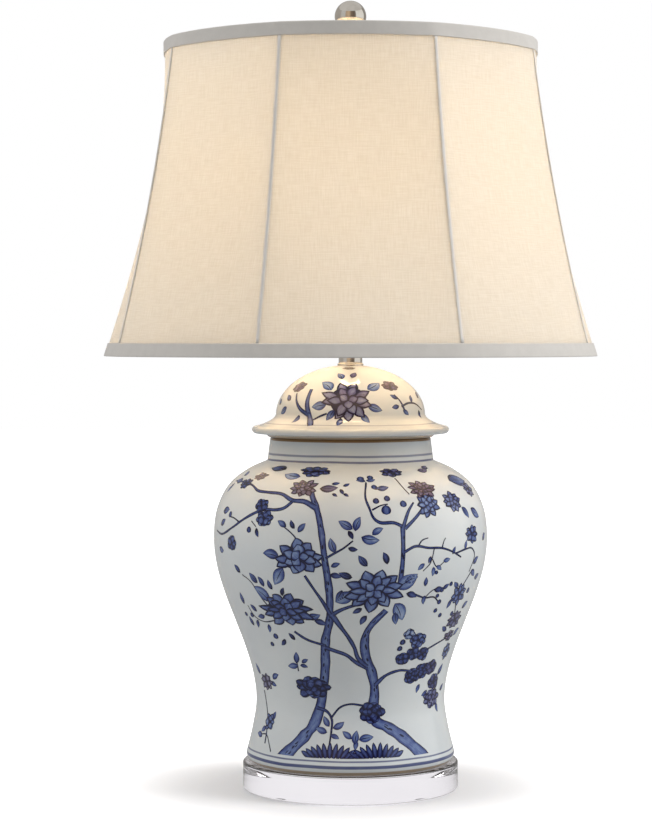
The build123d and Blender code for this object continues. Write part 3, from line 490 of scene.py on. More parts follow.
def frosted_bulb_glass():
    """Inside-frosted bulb glass, lit: an even warm glow, dimmer at the neck, under a glassy skin."""
    material, tree = new_material("frosted_bulb_glass")
    where = add(tree, "TexCoord").outputs["Object"]
    height = add(tree, "SeparateXYZ", {0: where}).outputs["Z"]
    strength = add(tree, "MapRange", {
        "Value": height, "From Min": bulb_neck_top * MM, "From Max": bulb_widest * MM,
        "To Min": bulb_glow * 0.25, "To Max": bulb_glow}, interpolation_type="SMOOTHSTEP")
    cloud = add(tree, "TexNoise", {"Vector": where, "Scale": 1 / (12 * MM)})
    share = add(tree, "MapRange", {"Value": cloud, "From Min": 0.3, "From Max": 0.7})
    warm = add(tree, "Mix", {0: share, 6: colour("#FFD8A6"), 7: colour("#FFDCAE")}, data_type="RGBA")
    shader = add(tree, "BsdfPrincipled", {
        "Base Color": colour("#F6EBDC"), "Roughness": 0.2,
        "Emission Color": warm, "Emission Strength": strength})
    add(tree, "OutputMaterial", {"Surface": shader})
    return material


bulb_glow = 46.0
glaze_gloss = 0.08
# millimetres of dark line at an edge for each step of boldness
line_width = 0.8
# cobalt from a thin wash to a full brush, and manganese the same
cobalt_stops = [(0.0, "#A3B1CC"), (0.28, "#7489B4"), (0.52, "#4D5F98"), (0.78, "#2C3A72"), (1.0, "#0B0F36")]
manganese_stops = [(0.0, "#B79E98"), (0.3, "#8F716C"), (0.6, "#6A4E50"), (1.0, "#2A1B2C")]

# the jar's tan band runs 3.6 mm up the foot's roll: raw clay, and painted shade for the shadow between foot
# and disc
porcelain_jar = glazed_porcelain(
    "glazed_porcelain_jar",
    lines=[(316.7, 1.0, 0.75), (311.4, 0.95, 0.9), (40.4, 0.75, 0.85), (35.2, 1.5, 0.97)],
    bare_above=lid_seat - 3.2, bare_and_shaded_below=jar_bottom + 3.6)
porcelain_lid = glazed_porcelain(
    "glazed_porcelain_lid", lines=[(lid_seat + 13.0, 0.45, 0.45)], bare_and_shaded_below=lid_seat + brim_underside)
painted_cobalt = cobalt_painting()
acrylic = cast_acrylic()
# linen spun and woven uneven: an off-white with darker slubs; threads of 0.5 mm are drawn at 1.1 mm to show
shade_linen = woven_cloth(
    "shade_linen", "#EFECE6", "#E6E1D8", 1.1, 0.5, ("#D7D9D8", "#CCCECC"), 0.08)
# the lining's warm emission is a painted glow for the bulb's light bouncing inside the shade
lining_satin = woven_cloth(
    "lining_satin", "#F3F0EA", "#EEEAE3", 0.8, 0.4, ("#FFFBF2", "#FFF8EC"), 0.03, painted_bounce_glow=0.6)
# folded bias tape of closely woven cotton: pale grey beside the lit linen, hardly see-through
tape_cotton = finish("tape_cotton", "#D8D4CE", "#D4D0CA", 0.85, grain=9, bump=0.02, Sheen_Weight=0.2)
# the seams' bias tape: the same cotton, one fold thick; its paler tone is painted light, standing in for the
# bulb's light coming through the single fold
seam_tape_painted_pale = finish("seam_tape_painted_pale", "#ECE9E4", "#E7E3DD", 0.85, grain=9, bump=0.02, Sheen_Weight=0.2)
# nickel plate on turned brass, buffed bright: slightly warm, near-mirror, with faint polishing haze
polished_nickel = finish("polished_nickel", "#D9D4CB", "#CFC9BF", 0.07, 1.0, grain=9, bump=0.001)
# zinc-plated mild steel, tumbled: grey with a bluish bloom
zinc_steel = finish("zinc_steel", "#A9ADB0", "#93979C", 0.32, 1.0, grain=4, bump=0.01)
# spun sheet brass: yellow, softly brushed
spun_brass = finish("spun_brass", "#C9A765", "#B9934F", 0.28, 1.0, grain=3, bump=0.01, stretch=(6, 6, 1))
# moulded phenolic: almost black, semi-matt, with moulding flow marks
phenolic = finish("phenolic", "#1C1917", "#262220", 0.38, grain=5, bump=0.02)
# pressed vulcanised fibre: brown board, fibrous and matt
fibre_board = finish("fibre_board", "#8D7A5E", "#77664C", 0.8, grain=2, bump=0.05, stretch=(1, 1, 4))
# soft clear PVC feet: milky, slightly tacky sheen
pvc_bumper = finish("pvc_bumper", "#DCDCDA", "#CFCFCD", 0.35, grain=3, bump=0.03)
# cured clear silicone between disc and jar
silicone = finish("silicone", "#DEDEDC", "#D3D3D2", 0.3, grain=6, bump=0.03)
# moulded nylon bushing: ivory, satin
nylon = finish("nylon", "#DDDACF", "#D2CEC2", 0.42, grain=5, bump=0.02)
# nitrile rubber gasket: black, matt
nitrile = finish("nitrile", "#1A1A1A", "#242424", 0.75, grain=2, bump=0.04)
# white enamel baked on steel wire: warm white, glossy, slightly orange-peeled
wire_enamel = finish("wire_enamel", "#E4E1D9", "#D9D5CC", 0.3, grain=4, bump=0.02)
# drawn and rolled aluminium bulb cap
rolled_aluminium = finish("rolled_aluminium", "#C9CACC", "#B7B9BC", 0.25, 1.0, grain=3, bump=0.01)
# tin-lead solder blob: dull grey
solder = finish("solder", "#9A9A9C", "#858588", 0.5, 1.0, grain=1, bump=0.05)
# dark vitrite glass that insulates the bulb's tip
vitrite = finish("vitrite", "#15121A", "#201B27", 0.12, grain=2, bump=0.01)
# clear lead-free glass of the bulb's mount
mount_glass = finish("mount_glass", "#E8ECEC", "#DDE2E2", 0.05, grain=6, bump=0.01)
# drawn tungsten wire: dark grey metal
tungsten = finish("tungsten", "#8B857C", "#77716A", 0.35, 1.0, grain=1, bump=0.01)
# moulded knob: black thermoplastic, satin
knob_plastic = finish("knob_plastic", "#161616", "#202020", 0.4, grain=4, bump=0.03)
bulb_lit = frosted_bulb_glass()

node_finishes = {
    "base_bumpers": pvc_bumper, "foot_bond": silicone, "cord_bushing": nylon,
    "lamp_rod": zinc_steel, "rod_gasket": nitrile, "rod_washer": zinc_steel, "rod_nut": zinc_steel,
    "harp_saddle": polished_nickel, "saddle_nut": polished_nickel,
    "harp": polished_nickel, "harp_sleeve_front": polished_nickel, "harp_sleeve_back": polished_nickel,
    "harp_stud": polished_nickel, "socket_cap": polished_nickel, "cap_set_screw": zinc_steel,
    "socket_shell": polished_nickel, "socket_liner": fibre_board, "socket_body": phenolic,
    "terminal_screws": spun_brass, "screw_shell": rolled_aluminium, "centre_contact": spun_brass,
    "switch_shaft": spun_brass, "switch_knob": knob_plastic,
    "bulb_contact": solder, "bulb_insulator": vitrite, "bulb_cap": rolled_aluminium,
    "bulb_stem": mount_glass, "bulb_filament": tungsten,
    "shade_spider": wire_enamel, "shade_bottom_ring": wire_enamel, "shade_ribs": wire_enamel,
}
for node, material in node_finishes.items():
    nodes[node].data.materials.clear()
    nodes[node].data.materials.append(material)


# ---------------------------------------------------------------- base

def acrylic_disc():
    """The disc: a flat outline with both edges rounded."""
    outline = rounded([
        (0, base_bottom, 0), (base_radius, base_bottom, base_edge_round),
        (base_radius, base_top, base_edge_round), (0, base_top, 0)], closed=False)
    return turned_piece(
        "acrylic_disc", dense(outline, disc_step, closed=False), "lamp_body", acrylic, disc_segments,
        slot="acrylic", stands_for=["acrylic_base"])


# ---------------------------------------------------------------- jar and lid

def jar_body_line():
    """The outside from the foot line to the neck: a flared foot, an S curve and a rounded shoulder."""
    span = waist_height - foot_line
    t = np.linspace(0, 1, 3)[:-1]
    flare = (t - 2 * t ** 2 + t ** 3) * foot_flare_slope * span
    foot = np.stack([foot_radius + (waist_radius - foot_radius) * smooth(t) - flare, foot_line + t * span], 1)
    t = np.linspace(0, 1, 7)
    rise = belly_height - waist_height
    body = np.stack([waist_radius + (belly_radius - waist_radius) * smooth(t), waist_height + t * rise], 1)
    share = np.array(shoulder_shape)
    shoulder = np.stack([
        belly_radius - (belly_radius - neck_root_radius) * share[:, 1],
        belly_height + (shoulder_height - belly_height) * share[:, 0]], 1)
    line = smooth_line(np.vstack([foot, body, shoulder]), 14)
    return line + [0, jar_bottom]


def foot_arc():
    """The rounded foot: from under the jar, out and up to the foot line."""
    low = np.array([foot_radius - foot_round, 0.0])
    high = np.array([foot_radius, foot_line])
    t = np.linspace(0, 1, 9)[:-1, None]
    bulge = 4 * t * (1 - t) * foot_bulge
    chord = (high - low) / np.linalg.norm(high - low)
    return low + (high - low) * t + bulge * [chord[1], -chord[0]] + [0, jar_bottom]


def inwards(line, distance):
    """A line moved to its left by distance, which is inwards for an outline drawn upwards."""
    slope = np.gradient(line, axis=0)
    slope = slope / np.linalg.norm(slope, axis=1, keepdims=True)
    return line + distance * np.stack([-slope[:, 1], slope[:, 0]], 1)


def jar_outline():
    """The jar's wall all round: outside up to the mouth, over the rim, down the inside and out again."""
    outside = jar_body_line()
    rim = rounded([
        (neck_root_radius, jar_bottom + shoulder_height, 0), (mouth_radius, lid_seat, mouth_round),
        (mouth_radius - jar_wall, lid_seat, 1.0), (mouth_radius - jar_wall, jar_bottom + shoulder_height, 0),
    ], closed=False)
    inside = inwards(outside, jar_wall)[::-1]
    floor_top = jar_bottom + jar_floor + jar_floor_thickness
    below_rim = jar_bottom + shoulder_height - 4.0
    inside = inside[(inside[:, 1] > floor_top + jar_wall) & (inside[:, 1] < below_rim)]
    ring_inner = foot_radius - foot_ring_width
    floor = rounded([
        (*inside[-1], 0), (inside[-1, 0], floor_top, 3.0), (pipe_hole, floor_top, 0.3),
        (pipe_hole, jar_bottom + jar_floor, 0.3), (ring_inner, jar_bottom + jar_floor, 2.5),
        (ring_inner, jar_bottom, 1.2), (foot_radius - foot_round, jar_bottom, 0)], closed=False)
    return dense(np.vstack([foot_arc()[1:], outside[:-1], rim, inside, floor]), jar_step)


def jar():
    """The jar, with the bushing's hole drilled in its back."""
    piece = turned_piece(
        "porcelain_jar", jar_outline(), "lamp_body", porcelain_jar, jar_segments, ring=True,
        slot="porcelain", stands_for=["jar"])
    drill_bushing_hole(piece)


def drill_bushing_hole(piece):
    """Cuts the bushing's round hole through the back wall and drops the drill."""
    mesh = bpy.data.meshes.new("drill")
    turn = np.arange(drill_segments) * 2 * np.pi / drill_segments
    x = bushing_hole * np.cos(turn)
    z = jar_bottom + bushing_height + bushing_hole * np.sin(turn)
    rings = [
        np.stack([x, y + 0 * turn, z], -1)
        for y in (waist_radius - 3 * jar_wall, waist_radius + 3 * jar_wall)]
    sides = grid_faces(2, drill_segments, False, True)[:, ::-1].tolist()
    caps = [list(range(drill_segments)), list(range(2 * drill_segments - 1, drill_segments - 1, -1))]
    mesh.from_pydata((np.vstack(rings) * MM).tolist(), [], sides + caps)
    drill = bpy.data.objects.new("drill", mesh)
    bpy.context.scene.collection.objects.link(drill)
    cut = piece.modifiers.new("bushing_hole", "BOOLEAN")
    cut.operation = "DIFFERENCE"
    cut.solver = "EXACT"
    cut.object = drill
    drilled = bpy.data.meshes.new_from_object(piece.evaluated_get(bpy.context.evaluated_depsgraph_get()))
    piece.modifiers.clear()
    piece.data = drilled
    bpy.data.objects.remove(drill)


def dome_line(inset):
    """The dome: part of an ellipse's quarter, from its foot to the flat at the top."""
    radius = dome_radius - inset
    end = math.acos(lid_flat_radius / radius)
    rise = (lid_top - lid_seat - dome_foot - inset) / math.sin(end)
    a = np.linspace(0, end, 36)
    return np.stack([radius * np.cos(a), lid_seat + dome_foot + rise * np.sin(a)], 1)


def brim_line():
    """The brim's top: from the rounded edge in along a hollow curve to the dome's foot."""
    span = brim_radius - brim_round - dome_radius
    low = brim_edge + brim_round
    shape = np.array([(1.0, 0.0), (0.62, 0.2), (0.31, 0.46), (0.1, 0.72), (0.0, 1.0)])
    knots = np.stack([dome_radius + shape[:, 0] * span, low + shape[:, 1] * (dome_foot - low)], 1)
    return smooth_line(knots, 8) + [0, lid_seat]


def lid_outline():
    """The lid's wall all round, with the lip that drops into the jar's mouth."""
    edge = lid_seat + brim_edge
    under = np.array([brim_radius - brim_round, edge - brim_round])
    turn = np.linspace(-np.pi / 2, np.pi / 2, 13)[1:-1]
    nose = np.stack([under[0] + brim_round * np.cos(turn), edge + brim_round * np.sin(turn)], 1)
    top = rounded([
        (*dome_line(0)[-1], 0), (lid_hole, lid_top, 0.8), (lid_hole, lid_top - lid_wall, 0.5),
        (*dome_line(lid_wall)[-1], 0)], closed=False)
    lip = rounded([
        (*dome_line(lid_wall)[0], 0), (lip_radius - lip_wall, lid_foot, 1.0), (lip_radius, lid_foot, 1.5),
        (lip_radius, lid_seat, 0.5), (mouth_radius + mouth_round, lid_seat, 0.8),
        (mouth_radius + 2 * mouth_round, lid_seat + brim_underside, 1.0), (*under, 0)], closed=False)
    inside = dome_line(lid_wall)[::-1][1:-1]
    return dense(np.vstack([lip, nose, brim_line()[:-1], dome_line(0)[:-1], top, inside]), lid_step)


def jar_lid():
    return turned_piece(
        "porcelain_lid", lid_outline(), "lamp_body", porcelain_lid, lid_segments, ring=True,
        slot="porcelain", stands_for=["jar_lid"])


# ---------------------------------------------------------------- neck, bulb and finial

def nickel_neck():
    """The neck tube: a bead at its foot, a spigot into the lid and thick ends round the pipe."""
    outline = rounded([
        (pipe_hole, neck_foot, 0.2), (spigot_radius, neck_foot, 0.4), (spigot_radius, lid_top, 0.1),
        (neck_radius + neck_bead, lid_top, 0.3), (neck_radius + neck_bead, lid_top + neck_bead_height, 1.0),
        (neck_radius, lid_top + neck_bead_height, 0.1), (neck_radius, neck_top, 0.5),
        (pipe_hole, neck_top, 0.3), (pipe_hole, neck_top - neck_end, 0.2),
        (neck_radius - neck_wall, neck_top - neck_end, 0.2),
        (neck_radius - neck_wall, lid_top + neck_end, 0.2), (pipe_hole, lid_top + neck_end, 0.2)])
    return turned_piece(
        "nickel_neck", dense(outline, neck_step), "lamp_body", polished_nickel, neck_segments, ring=True,
        slot="nickel", stands_for=["neck"])


def bulb_line(inset):
    """The envelope: a straight neck in the cap, a swelling cone and a round crown."""
    shape = np.array([(0.0, 0.0), (0.14, 0.02), (0.33, 0.2), (0.66, 0.75), (1.0, 1.0)])
    swell = bulb_radius - bulb_neck_radius
    side = np.stack([
        bulb_neck_radius - inset + shape[:, 1] * swell,
        bulb_neck_top + shape[:, 0] * (bulb_widest - bulb_neck_top)], 1)
    a = np.radians([25, 50, 72])
    crown = np.stack([
        (bulb_radius - inset) * np.cos(a), bulb_widest + (bulb_top - inset - bulb_widest) * np.sin(a)], 1)
    top = [[0.0, bulb_top - inset]]
    return smooth_line(np.vstack([[[bulb_neck_radius - inset, bulb_foot]], side, crown, top]), 8)


def bulb_envelope():
    """The envelope as one skin, over its inside and its outside."""
    outline = np.vstack([bulb_line(bulb_wall)[::-1], bulb_line(0)])
    return turned_piece(
        "bulb_envelope", outline, "bulb", bulb_lit, bulb_segments,
        slot="bulb_glass", stands_for=["bulb_glass"])


def finial_ball():
    """A polished ball with a small flat on its seat."""
    centre = ball_top - ball_radius
    start = math.asin((ball_seat - centre) / ball_radius)
    a = np.linspace(start, np.pi / 2, 72)
    ball = np.stack([ball_radius * np.cos(a), centre + ball_radius * np.sin(a)], 1)
    ball[-1, 0] = 0
    return turned_piece(
        "finial_sphere", np.vstack([[[0, ball_seat]], ball]), "finial", polished_nickel, ball_segments,
        slot="nickel", stands_for=["finial_ball"])


def finial_foot():
    """The turned stem: a round foot, a hollow waist and a cup under the ball."""
    foot_top = stem_foot + stem_base_height
    waist = smooth_line([
        (stem_base_radius - 0.6, foot_top), (stem_waist_radius + 0.7, foot_top + 3.2),
        (stem_waist_radius, (foot_top + ball_seat) / 2), (stem_cup_radius - 0.5, ball_seat - 2.0),
        (stem_cup_radius, ball_seat - 0.4)], 8)
    foot = rounded([
        (stem_hole, stem_foot, 0.2), (stem_base_radius, stem_foot, 0.5),
        (stem_base_radius, foot_top - 0.2, 0.6), (stem_base_radius - 0.9, foot_top, 0)], closed=False)
    hole_top = stem_foot + stem_hole_depth
    cup = [[stem_cup_radius - 0.4, ball_seat], [0, ball_seat]]
    outline = dense(np.vstack([[[stem_hole, hole_top]], foot, waist[1:], cup]), stem_step, closed=False)
    return turned_piece(
        "finial_pedestal", np.vstack([[[0, hole_top]], outline]), "finial",
        polished_nickel, stem_segments, slot="nickel", stands_for=["finial_stem"])


# ---------------------------------------------------------------- shade

def seam_radius(z):
    """The shade's outside at a seam: a straight flare less the seam's inward bow."""
    t = (shade_top - z) / (shade_top - shade_bottom)
    return shade_top_radius + (shade_bottom_radius - shade_top_radius) * t - 4 * seam_bow * t * (1 - t)


def middle_radius(z):
    """The shade's outside in the middle of a panel."""
    t = (shade_top - z) / (shade_top - shade_bottom)
    skewed = t * (flat_rise - (flat_rise - 1) * t)
    flatness = flat_top + (flat_bottom - flat_top) * t + flat_gain * np.sin(math.pi * skewed)
    return seam_radius(z) * (1 - flatness * (1 - math.cos(math.pi / side_count)))


def shade_points(side, across, z, outwards):
    """Points of a panel's outside, moved outwards: at each height the panel is the arc of a circle through
    its two seams and its middle, and across goes from 0 at one seam to 1 at the next."""
    half = math.pi / side_count
    corner, middle = seam_radius(z) + outwards, middle_radius(z) + outwards
    centre = (corner ** 2 - middle ** 2) / (2 * (corner * math.cos(half) - middle))
    radius = middle - centre
    reach = np.arctan2(corner * math.sin(half), corner * math.cos(half) - centre)
    x = centre + radius * np.cos(reach * (2 * across - 1))
    y = radius * np.sin(reach * (2 * across - 1))
    turn = math.radians(shade_turn - 90) + half * (2 * side + 1)
    return np.stack([x * np.cos(turn) - y * np.sin(turn), x * np.sin(turn) + y * np.cos(turn), z + 0 * x], -1)


def panel_piece(name, side, low, high, outwards, material, slot, stands_for):
    """One gore of cloth between two seams, on UV in metres across and along the cloth."""
    rows, columns = 64, 41
    z, across = np.meshgrid(np.linspace(low, high, rows), np.linspace(0, 1, columns), indexing="ij")
    points = shade_points(side, across, z, outwards)
    up = np.linalg.norm(np.diff(points[:, columns // 2], axis=0), axis=1)
    up = np.concatenate([[0], np.cumsum(up)])
    width = np.linalg.norm(np.diff(points, axis=1), axis=2).sum(1)
    uv = np.stack([(across - 0.5) * width[:, None], up[:, None] + 0 * across], -1) * MM
    uv = uv + [side * gore_spacing, 0]
    piece = mesh_piece(
        name, points.reshape(-1, 3), grid_faces(rows, columns), "shade", material,
        slot=slot, stands_for=[stands_for], uv=uv.reshape(-1, 2))
    top, middle, bottom = width[-1], width[rows // 2], width[0]
    cut = (top + 4 * middle + bottom) / 6 * up[-1]
    return piece, (bottom * MM, up[-1] * MM), cut * MM * MM


def band_piece(name, outline, material, slot, stands_for):
    """A closed band round the shade: outline is (outwards, height) points with the cloth on their left,
    carried along all eight panels."""
    outline = np.array(outline, float)
    columns = 28
    across = np.arange(columns) / columns
    runs = [shade_points(side, across[None], outline[:, 1:], outline[:, :1]) for side in range(side_count)]
    points = np.concatenate(runs, axis=1)
    faces = grid_faces(len(outline), columns * side_count, True, True)
    return mesh_piece(
        name, points.reshape(-1, 3), faces, "shade", material, slot=slot, stands_for=[stands_for])


def top_band():
    """The folded tape at the top: a leg outside, a fold over the edge and a shorter leg inside."""
    outline = rounded([
        (trim_cloth, shade_top - trim_height, 0.6), (trim_cloth, shade_top, 1.1),
        (-trim_inner_face, shade_top, 1.1), (-trim_inner_face, shade_top - trim_inner_height, 0.4),
        (trim_inner_cloth - trim_inner_face, shade_top - trim_inner_height, 0.3),
        (trim_inner_cloth - trim_inner_face, shade_top - 1.0, 0.4), (cloth_gap, shade_top - 1.0, 0.4),
        (cloth_gap, shade_top - trim_height, 0.3)])
    return band_piece("top_band", dense(outline, band_step), tape_cotton, "trim_cloth", "shade_top_trim")


def bottom_band():
    """The folded tape at the bottom, the same the other way up."""
    outline = rounded([
        (trim_cloth, shade_bottom, 1.1), (trim_cloth, shade_bottom + trim_height, 0.6),
        (cloth_gap, shade_bottom + trim_height, 0.3), (cloth_gap, shade_bottom + 1.0, 0.4),
        (trim_inner_cloth - trim_inner_face, shade_bottom + 1.0, 0.4),
        (trim_inner_cloth - trim_inner_face, shade_bottom + trim_inner_height, 0.3),
        (-trim_inner_face, shade_bottom + trim_inner_height, 0.4), (-trim_inner_face, shade_bottom, 1.1)])
    return band_piece(
        "bottom_band", dense(outline, band_step), tape_cotton, "trim_cloth", "shade_bottom_trim")


def seam_tapes():
    """A rounded tape over each seam: a half-oval carried up the seam, closed at both ends."""
    rows, columns = 62, 12
    low = shade_bottom + trim_height + cloth_gap
    high = shade_top - trim_height - cloth_gap
    z = np.concatenate([[low], np.linspace(low, high, rows - 2), [high]])[:, None]
    turn = np.arange(columns) * 2 * np.pi / columns
    full = np.ones((rows, 1))
    full[[0, -1]] = 0
    sideways = full * tape_width / 2 * np.cos(turn)
    outwards = cloth_gap + tape_thickness / 2 + full * tape_thickness / 2 * np.sin(turn)
    radius = seam_radius(z) + outwards
    all_points, all_faces = [], []
    for side in range(side_count):
        a = math.radians(shade_turn - 90 + side * 360 / side_count)
        x = radius * math.cos(a) - sideways * math.sin(a)
        y = radius * math.sin(a) + sideways * math.cos(a)
        all_points.append(np.stack([x, y, z + 0 * x], -1).reshape(-1, 3))
        all_faces.append(grid_faces(rows, columns, False, True)[:, ::-1] + side * rows * columns)
    return mesh_piece(
        "seam_tapes", np.vstack(all_points), np.vstack(all_faces), "shade", seam_tape_painted_pale,
        slot="trim_cloth", stands_for=["shade_seam_tapes"], weld=True)


def shade():
    """Eight gores of linen and eight of lining, with their tapes; each gore is drawn stretched between its
    seams.
    """
    bands = [top_band(), bottom_band(), seam_tapes()]
    low, high = shade_bottom + panel_end, shade_top - panel_end
    for side in range(side_count):
        gore, flat, cut = panel_piece(
            f"linen_gore_{side + 1}", side, low, high, 0, shade_linen, "shade_cloth", "shade_panels")
        inner, flat, cut = panel_piece(
            f"lining_gore_{side + 1}", side, low, high - ring_depth, -lining_inset, lining_satin,
            "lining_cloth", "shade_lining")


# ---------------------------------------------------------------- painting

# Painted places are degrees to the right of the design's middle and heights above the table. A direction is
# in degrees clockwise from straight up, as it looks on the jar, and sizes are millimetres.

paint_lift = 0.05
coat = 0.006
point_spacing = 2.2
column_spacing = 1.6
round_overlap = 1.6
pointed_overlap = 0.75
# a branch's waver: its length, how many of them there can be and how thin or wide it makes the branch
waver_length = 7
waver_count = 90
waver_range = (0.86, 1.16)
# where a flower's rings of petals start and end, as shares of its reach, from the outermost
petal_rings = [(0.3, 1.0), (0.14, 0.74), (0.0, 0.44)]
flower_ground = 0.66
# a leaf longer than this has a midrib
plain_leaf = 12
leaf_width = 0.52
branch_layer = 2


def canvas_on(outline, turn, mirror, seed, foot=0.0):
    """A turned surface to paint on: its radius, height and outward direction by length along its outline,
    with the strokes so far. A mirror of -1 paints the design the other way round. Nothing is painted below
    the height of foot."""
    outline = np.asarray(outline, float)
    steps = np.linalg.norm(np.diff(outline, axis=0), axis=1)
    slope = np.gradient(outline, axis=0)
    slope = slope / np.linalg.norm(slope, axis=1, keepdims=True)
    length = np.concatenate([[0], np.cumsum(steps)])
    return {
        "length": length, "radius": outline[:, 0], "height": outline[:, 1],
        "out": np.stack([slope[:, 1], -slope[:, 0]], 1), "foot": np.interp(foot, outline[:, 1], length),
        "turn": math.radians(turn), "mirror": mirror,
        "hand": np.random.default_rng(seed), "points": [], "faces": [], "uv": [], "values": [], "count": 0}


def stroke(canvas, place, spine, half, tone, layer=0, line=1.0, brown=0.0):
    """One brush stroke: a spine of (right, up) from a place, with a half width at each of its points. Rows
    of points cross the spine, and each point is laid on the surface by its length along the outline and its
    arc from the place. Layers lie one over another, a coat apart."""
    spine = np.asarray(spine, float)
    half = np.broadcast_to(half, len(spine))
    slope = np.gradient(spine, axis=0)
    slope = slope / np.linalg.norm(slope, axis=1, keepdims=True)
    across = np.linspace(-1, 1, 2 * max(2, math.ceil(half.max() / column_spacing)) + 1)
    side = half[:, None] * across
    x = spine[:, :1] + slope[:, 1:] * side
    y = spine[:, 1:] - slope[:, :1] * side
    length = canvas["length"]
    s = np.clip(np.interp(place[1], canvas["height"], length) + y, canvas["foot"], length[-1])
    lift = paint_lift + layer * coat
    radius = np.interp(s, length, canvas["radius"])
    angle = canvas["turn"] + canvas["mirror"] * (math.radians(place[0]) + x / radius)
    radius = radius + lift * np.interp(s, length, canvas["out"][:, 0])
    height = np.interp(s, length, canvas["height"]) + lift * np.interp(s, length, canvas["out"][:, 1])
    points = np.stack([radius * np.sin(angle), -radius * np.cos(angle), height], -1)
    faces = grid_faces(*side.shape) + canvas["count"]
    along = np.concatenate([[0], np.cumsum(np.linalg.norm(np.diff(spine, axis=0), axis=1))])
    uv = np.stack([along[:, None] + 0 * side, side], -1) * MM + canvas["hand"].uniform(0, 1, 2)
    edge = half[:, None] * (1 - np.abs(across))
    canvas["points"].append(points.reshape(-1, 3))
    canvas["faces"].append(faces[:, ::canvas["mirror"]])
    canvas["uv"].append(uv.reshape(-1, 2))
    tone = np.reshape(tone, (-1, 1)) + 0 * edge
    canvas["values"].append(np.stack([edge, tone, line + 0 * edge, brown + 0 * edge], -1).reshape(-1, 4))
    canvas["count"] += side.size


def branch(canvas, knots, widths, tone=0.62, layer=0, line=0.9):
    """A branch through its knots. Its width goes through the widths given, at even shares of its length,
    with a waver of the hand."""
    knots = np.array(knots, float)
    length = np.interp(knots[:, 1], canvas["height"], canvas["length"])
    radius = np.interp(knots[:, 1], canvas["height"], canvas["radius"])
    right = np.radians(knots[:, 0] - knots[0, 0]) * radius
    spine = smooth_line(np.stack([right, length - length[0]], 1), 12)
    run = np.concatenate([[0], np.cumsum(np.linalg.norm(np.diff(spine, axis=0), axis=1))])
    at = np.linspace(0, run[-1], max(math.ceil(run[-1] / point_spacing), 4) + 1)
    spine = np.stack([np.interp(at, run, spine[:, 0]), np.interp(at, run, spine[:, 1])], 1)
    half = np.interp(at / at[-1], np.linspace(0, 1, len(widths)), widths) / 2
    drawn = canvas["hand"].uniform(*waver_range, waver_count)
    waver = np.interp(at / waver_length, np.arange(waver_count), drawn)
    stroke(canvas, knots[0], spine, half * waver, tone, layer, line)
    return spine, half


def petal(canvas, place, base, tip, width, tone, layer, point=0.5, bend=0.0, **more):
    """A petal or leaf from its base to its tip, both (right, up) from a place. Its half width follows a sine
    raised to a power that makes it rounder or more pointed, and its spine bends as a parabola."""
    t = np.linspace(0, 1, 9)
    base, reach = np.array(base), np.subtract(tip, base)
    side = np.array([reach[1], -reach[0]])
    spine = base + t[:, None] * reach + (4 * bend * t * (1 - t))[:, None] * side
    half = width / 2 * np.sin(np.pi * np.clip(t, 0, 1) ** 0.85) ** (0.5 + 0.6 * point)
    stroke(canvas, place, spine, np.maximum(half, 0), tone, layer, **more)


def leaf(canvas, angle, height, direction, length, tone=0.46, brown=0.0, width=None, layer=3, line=0.45):
    """A leaf or sepal centred on its place: one dab, darker where the brush was set down at its stalk, with
    a midrib where it is large."""
    hand = canvas["hand"]
    turn = math.radians(direction)
    reach = np.array([math.sin(turn), math.cos(turn)]) * length / 2
    bend = hand.uniform(-0.1, 0.1)
    width = width or length * leaf_width
    graded = tone + hand.uniform(-0.08, 0.08) + np.linspace(0.42, -0.12, 9)
    place = (angle, height)
    petal(canvas, place, -reach, reach, width, graded, layer, 0.6, bend, line=line, brown=brown)
    if length > plain_leaf:
        petal(canvas, place, -0.9 * reach, 0.6 * reach, 0.8, 0.85, layer + 1, 0.2, bend, brown=brown)


def bloom(canvas, angle, height, across, up, counts, tone=0.55, point=0.6, brown=0.0, line=1.6, layer=8):
    """A flower: a dark ground, then rings of petals from the outermost inwards, each a little out of true.
    across and up are how far it reaches from its middle."""
    hand = canvas["hand"]
    place = (angle, height)
    t = np.linspace(-0.98, 0.98, 11)
    ground = np.stack([0 * t, flower_ground * up * t], 1)
    stroke(canvas, place, ground, flower_ground * across * np.sqrt(1 - t ** 2), 1.2, layer, 0.0, brown * 0.6)
    for (start, end), count in zip(petal_rings, counts):
        first = hand.uniform(0, 2 * math.pi)
        for i in range(count):
            layer += 1
            turn = first + 2 * math.pi * i / count + hand.uniform(-0.15, 0.15)
            ray = np.array([across * math.sin(turn), up * math.cos(turn)]) * hand.uniform(0.86, 1.06)
            around = math.hypot(across * math.cos(turn), up * math.sin(turn)) * (start + end) / 2
            overlap = round_overlap + (pointed_overlap - round_overlap) * point
            width = around * 2 * math.pi / count * overlap
            graded = tone + hand.uniform(-0.1, 0.1) + np.linspace(0.25, -0.1, 9)
            bend = hand.uniform(-0.08, 0.08)
            petal(canvas, place, start * ray, end * ray, width, graded, layer, point, bend,
                  line=line, brown=brown * hand.uniform(0.6, 1.0))


def berry(canvas, angle, height, size, tone=0.75, layer=6):
    """A bud or berry: one round dab."""
    petal(canvas, (angle, height), (0, -size), (0, size), 2 * size, tone, layer, 0.0)


def bark(canvas, spine, half, place, count):
    """Dark knots and short marks down a trunk, inside its edges."""
    hand = canvas["hand"]
    for i in hand.integers(2, len(spine) - 3, count):
        side = hand.uniform(-0.5, 0.5) * half[i]
        start = spine[i] + [side, 0]
        end = spine[i + 2] + [side * 0.7, 0]
        width = hand.uniform(0.8, 1.8)
        bend = hand.uniform(-0.2, 0.2)
        petal(canvas, place, start, end, width, 0.88, 1, 0.4, bend, line=0.4)


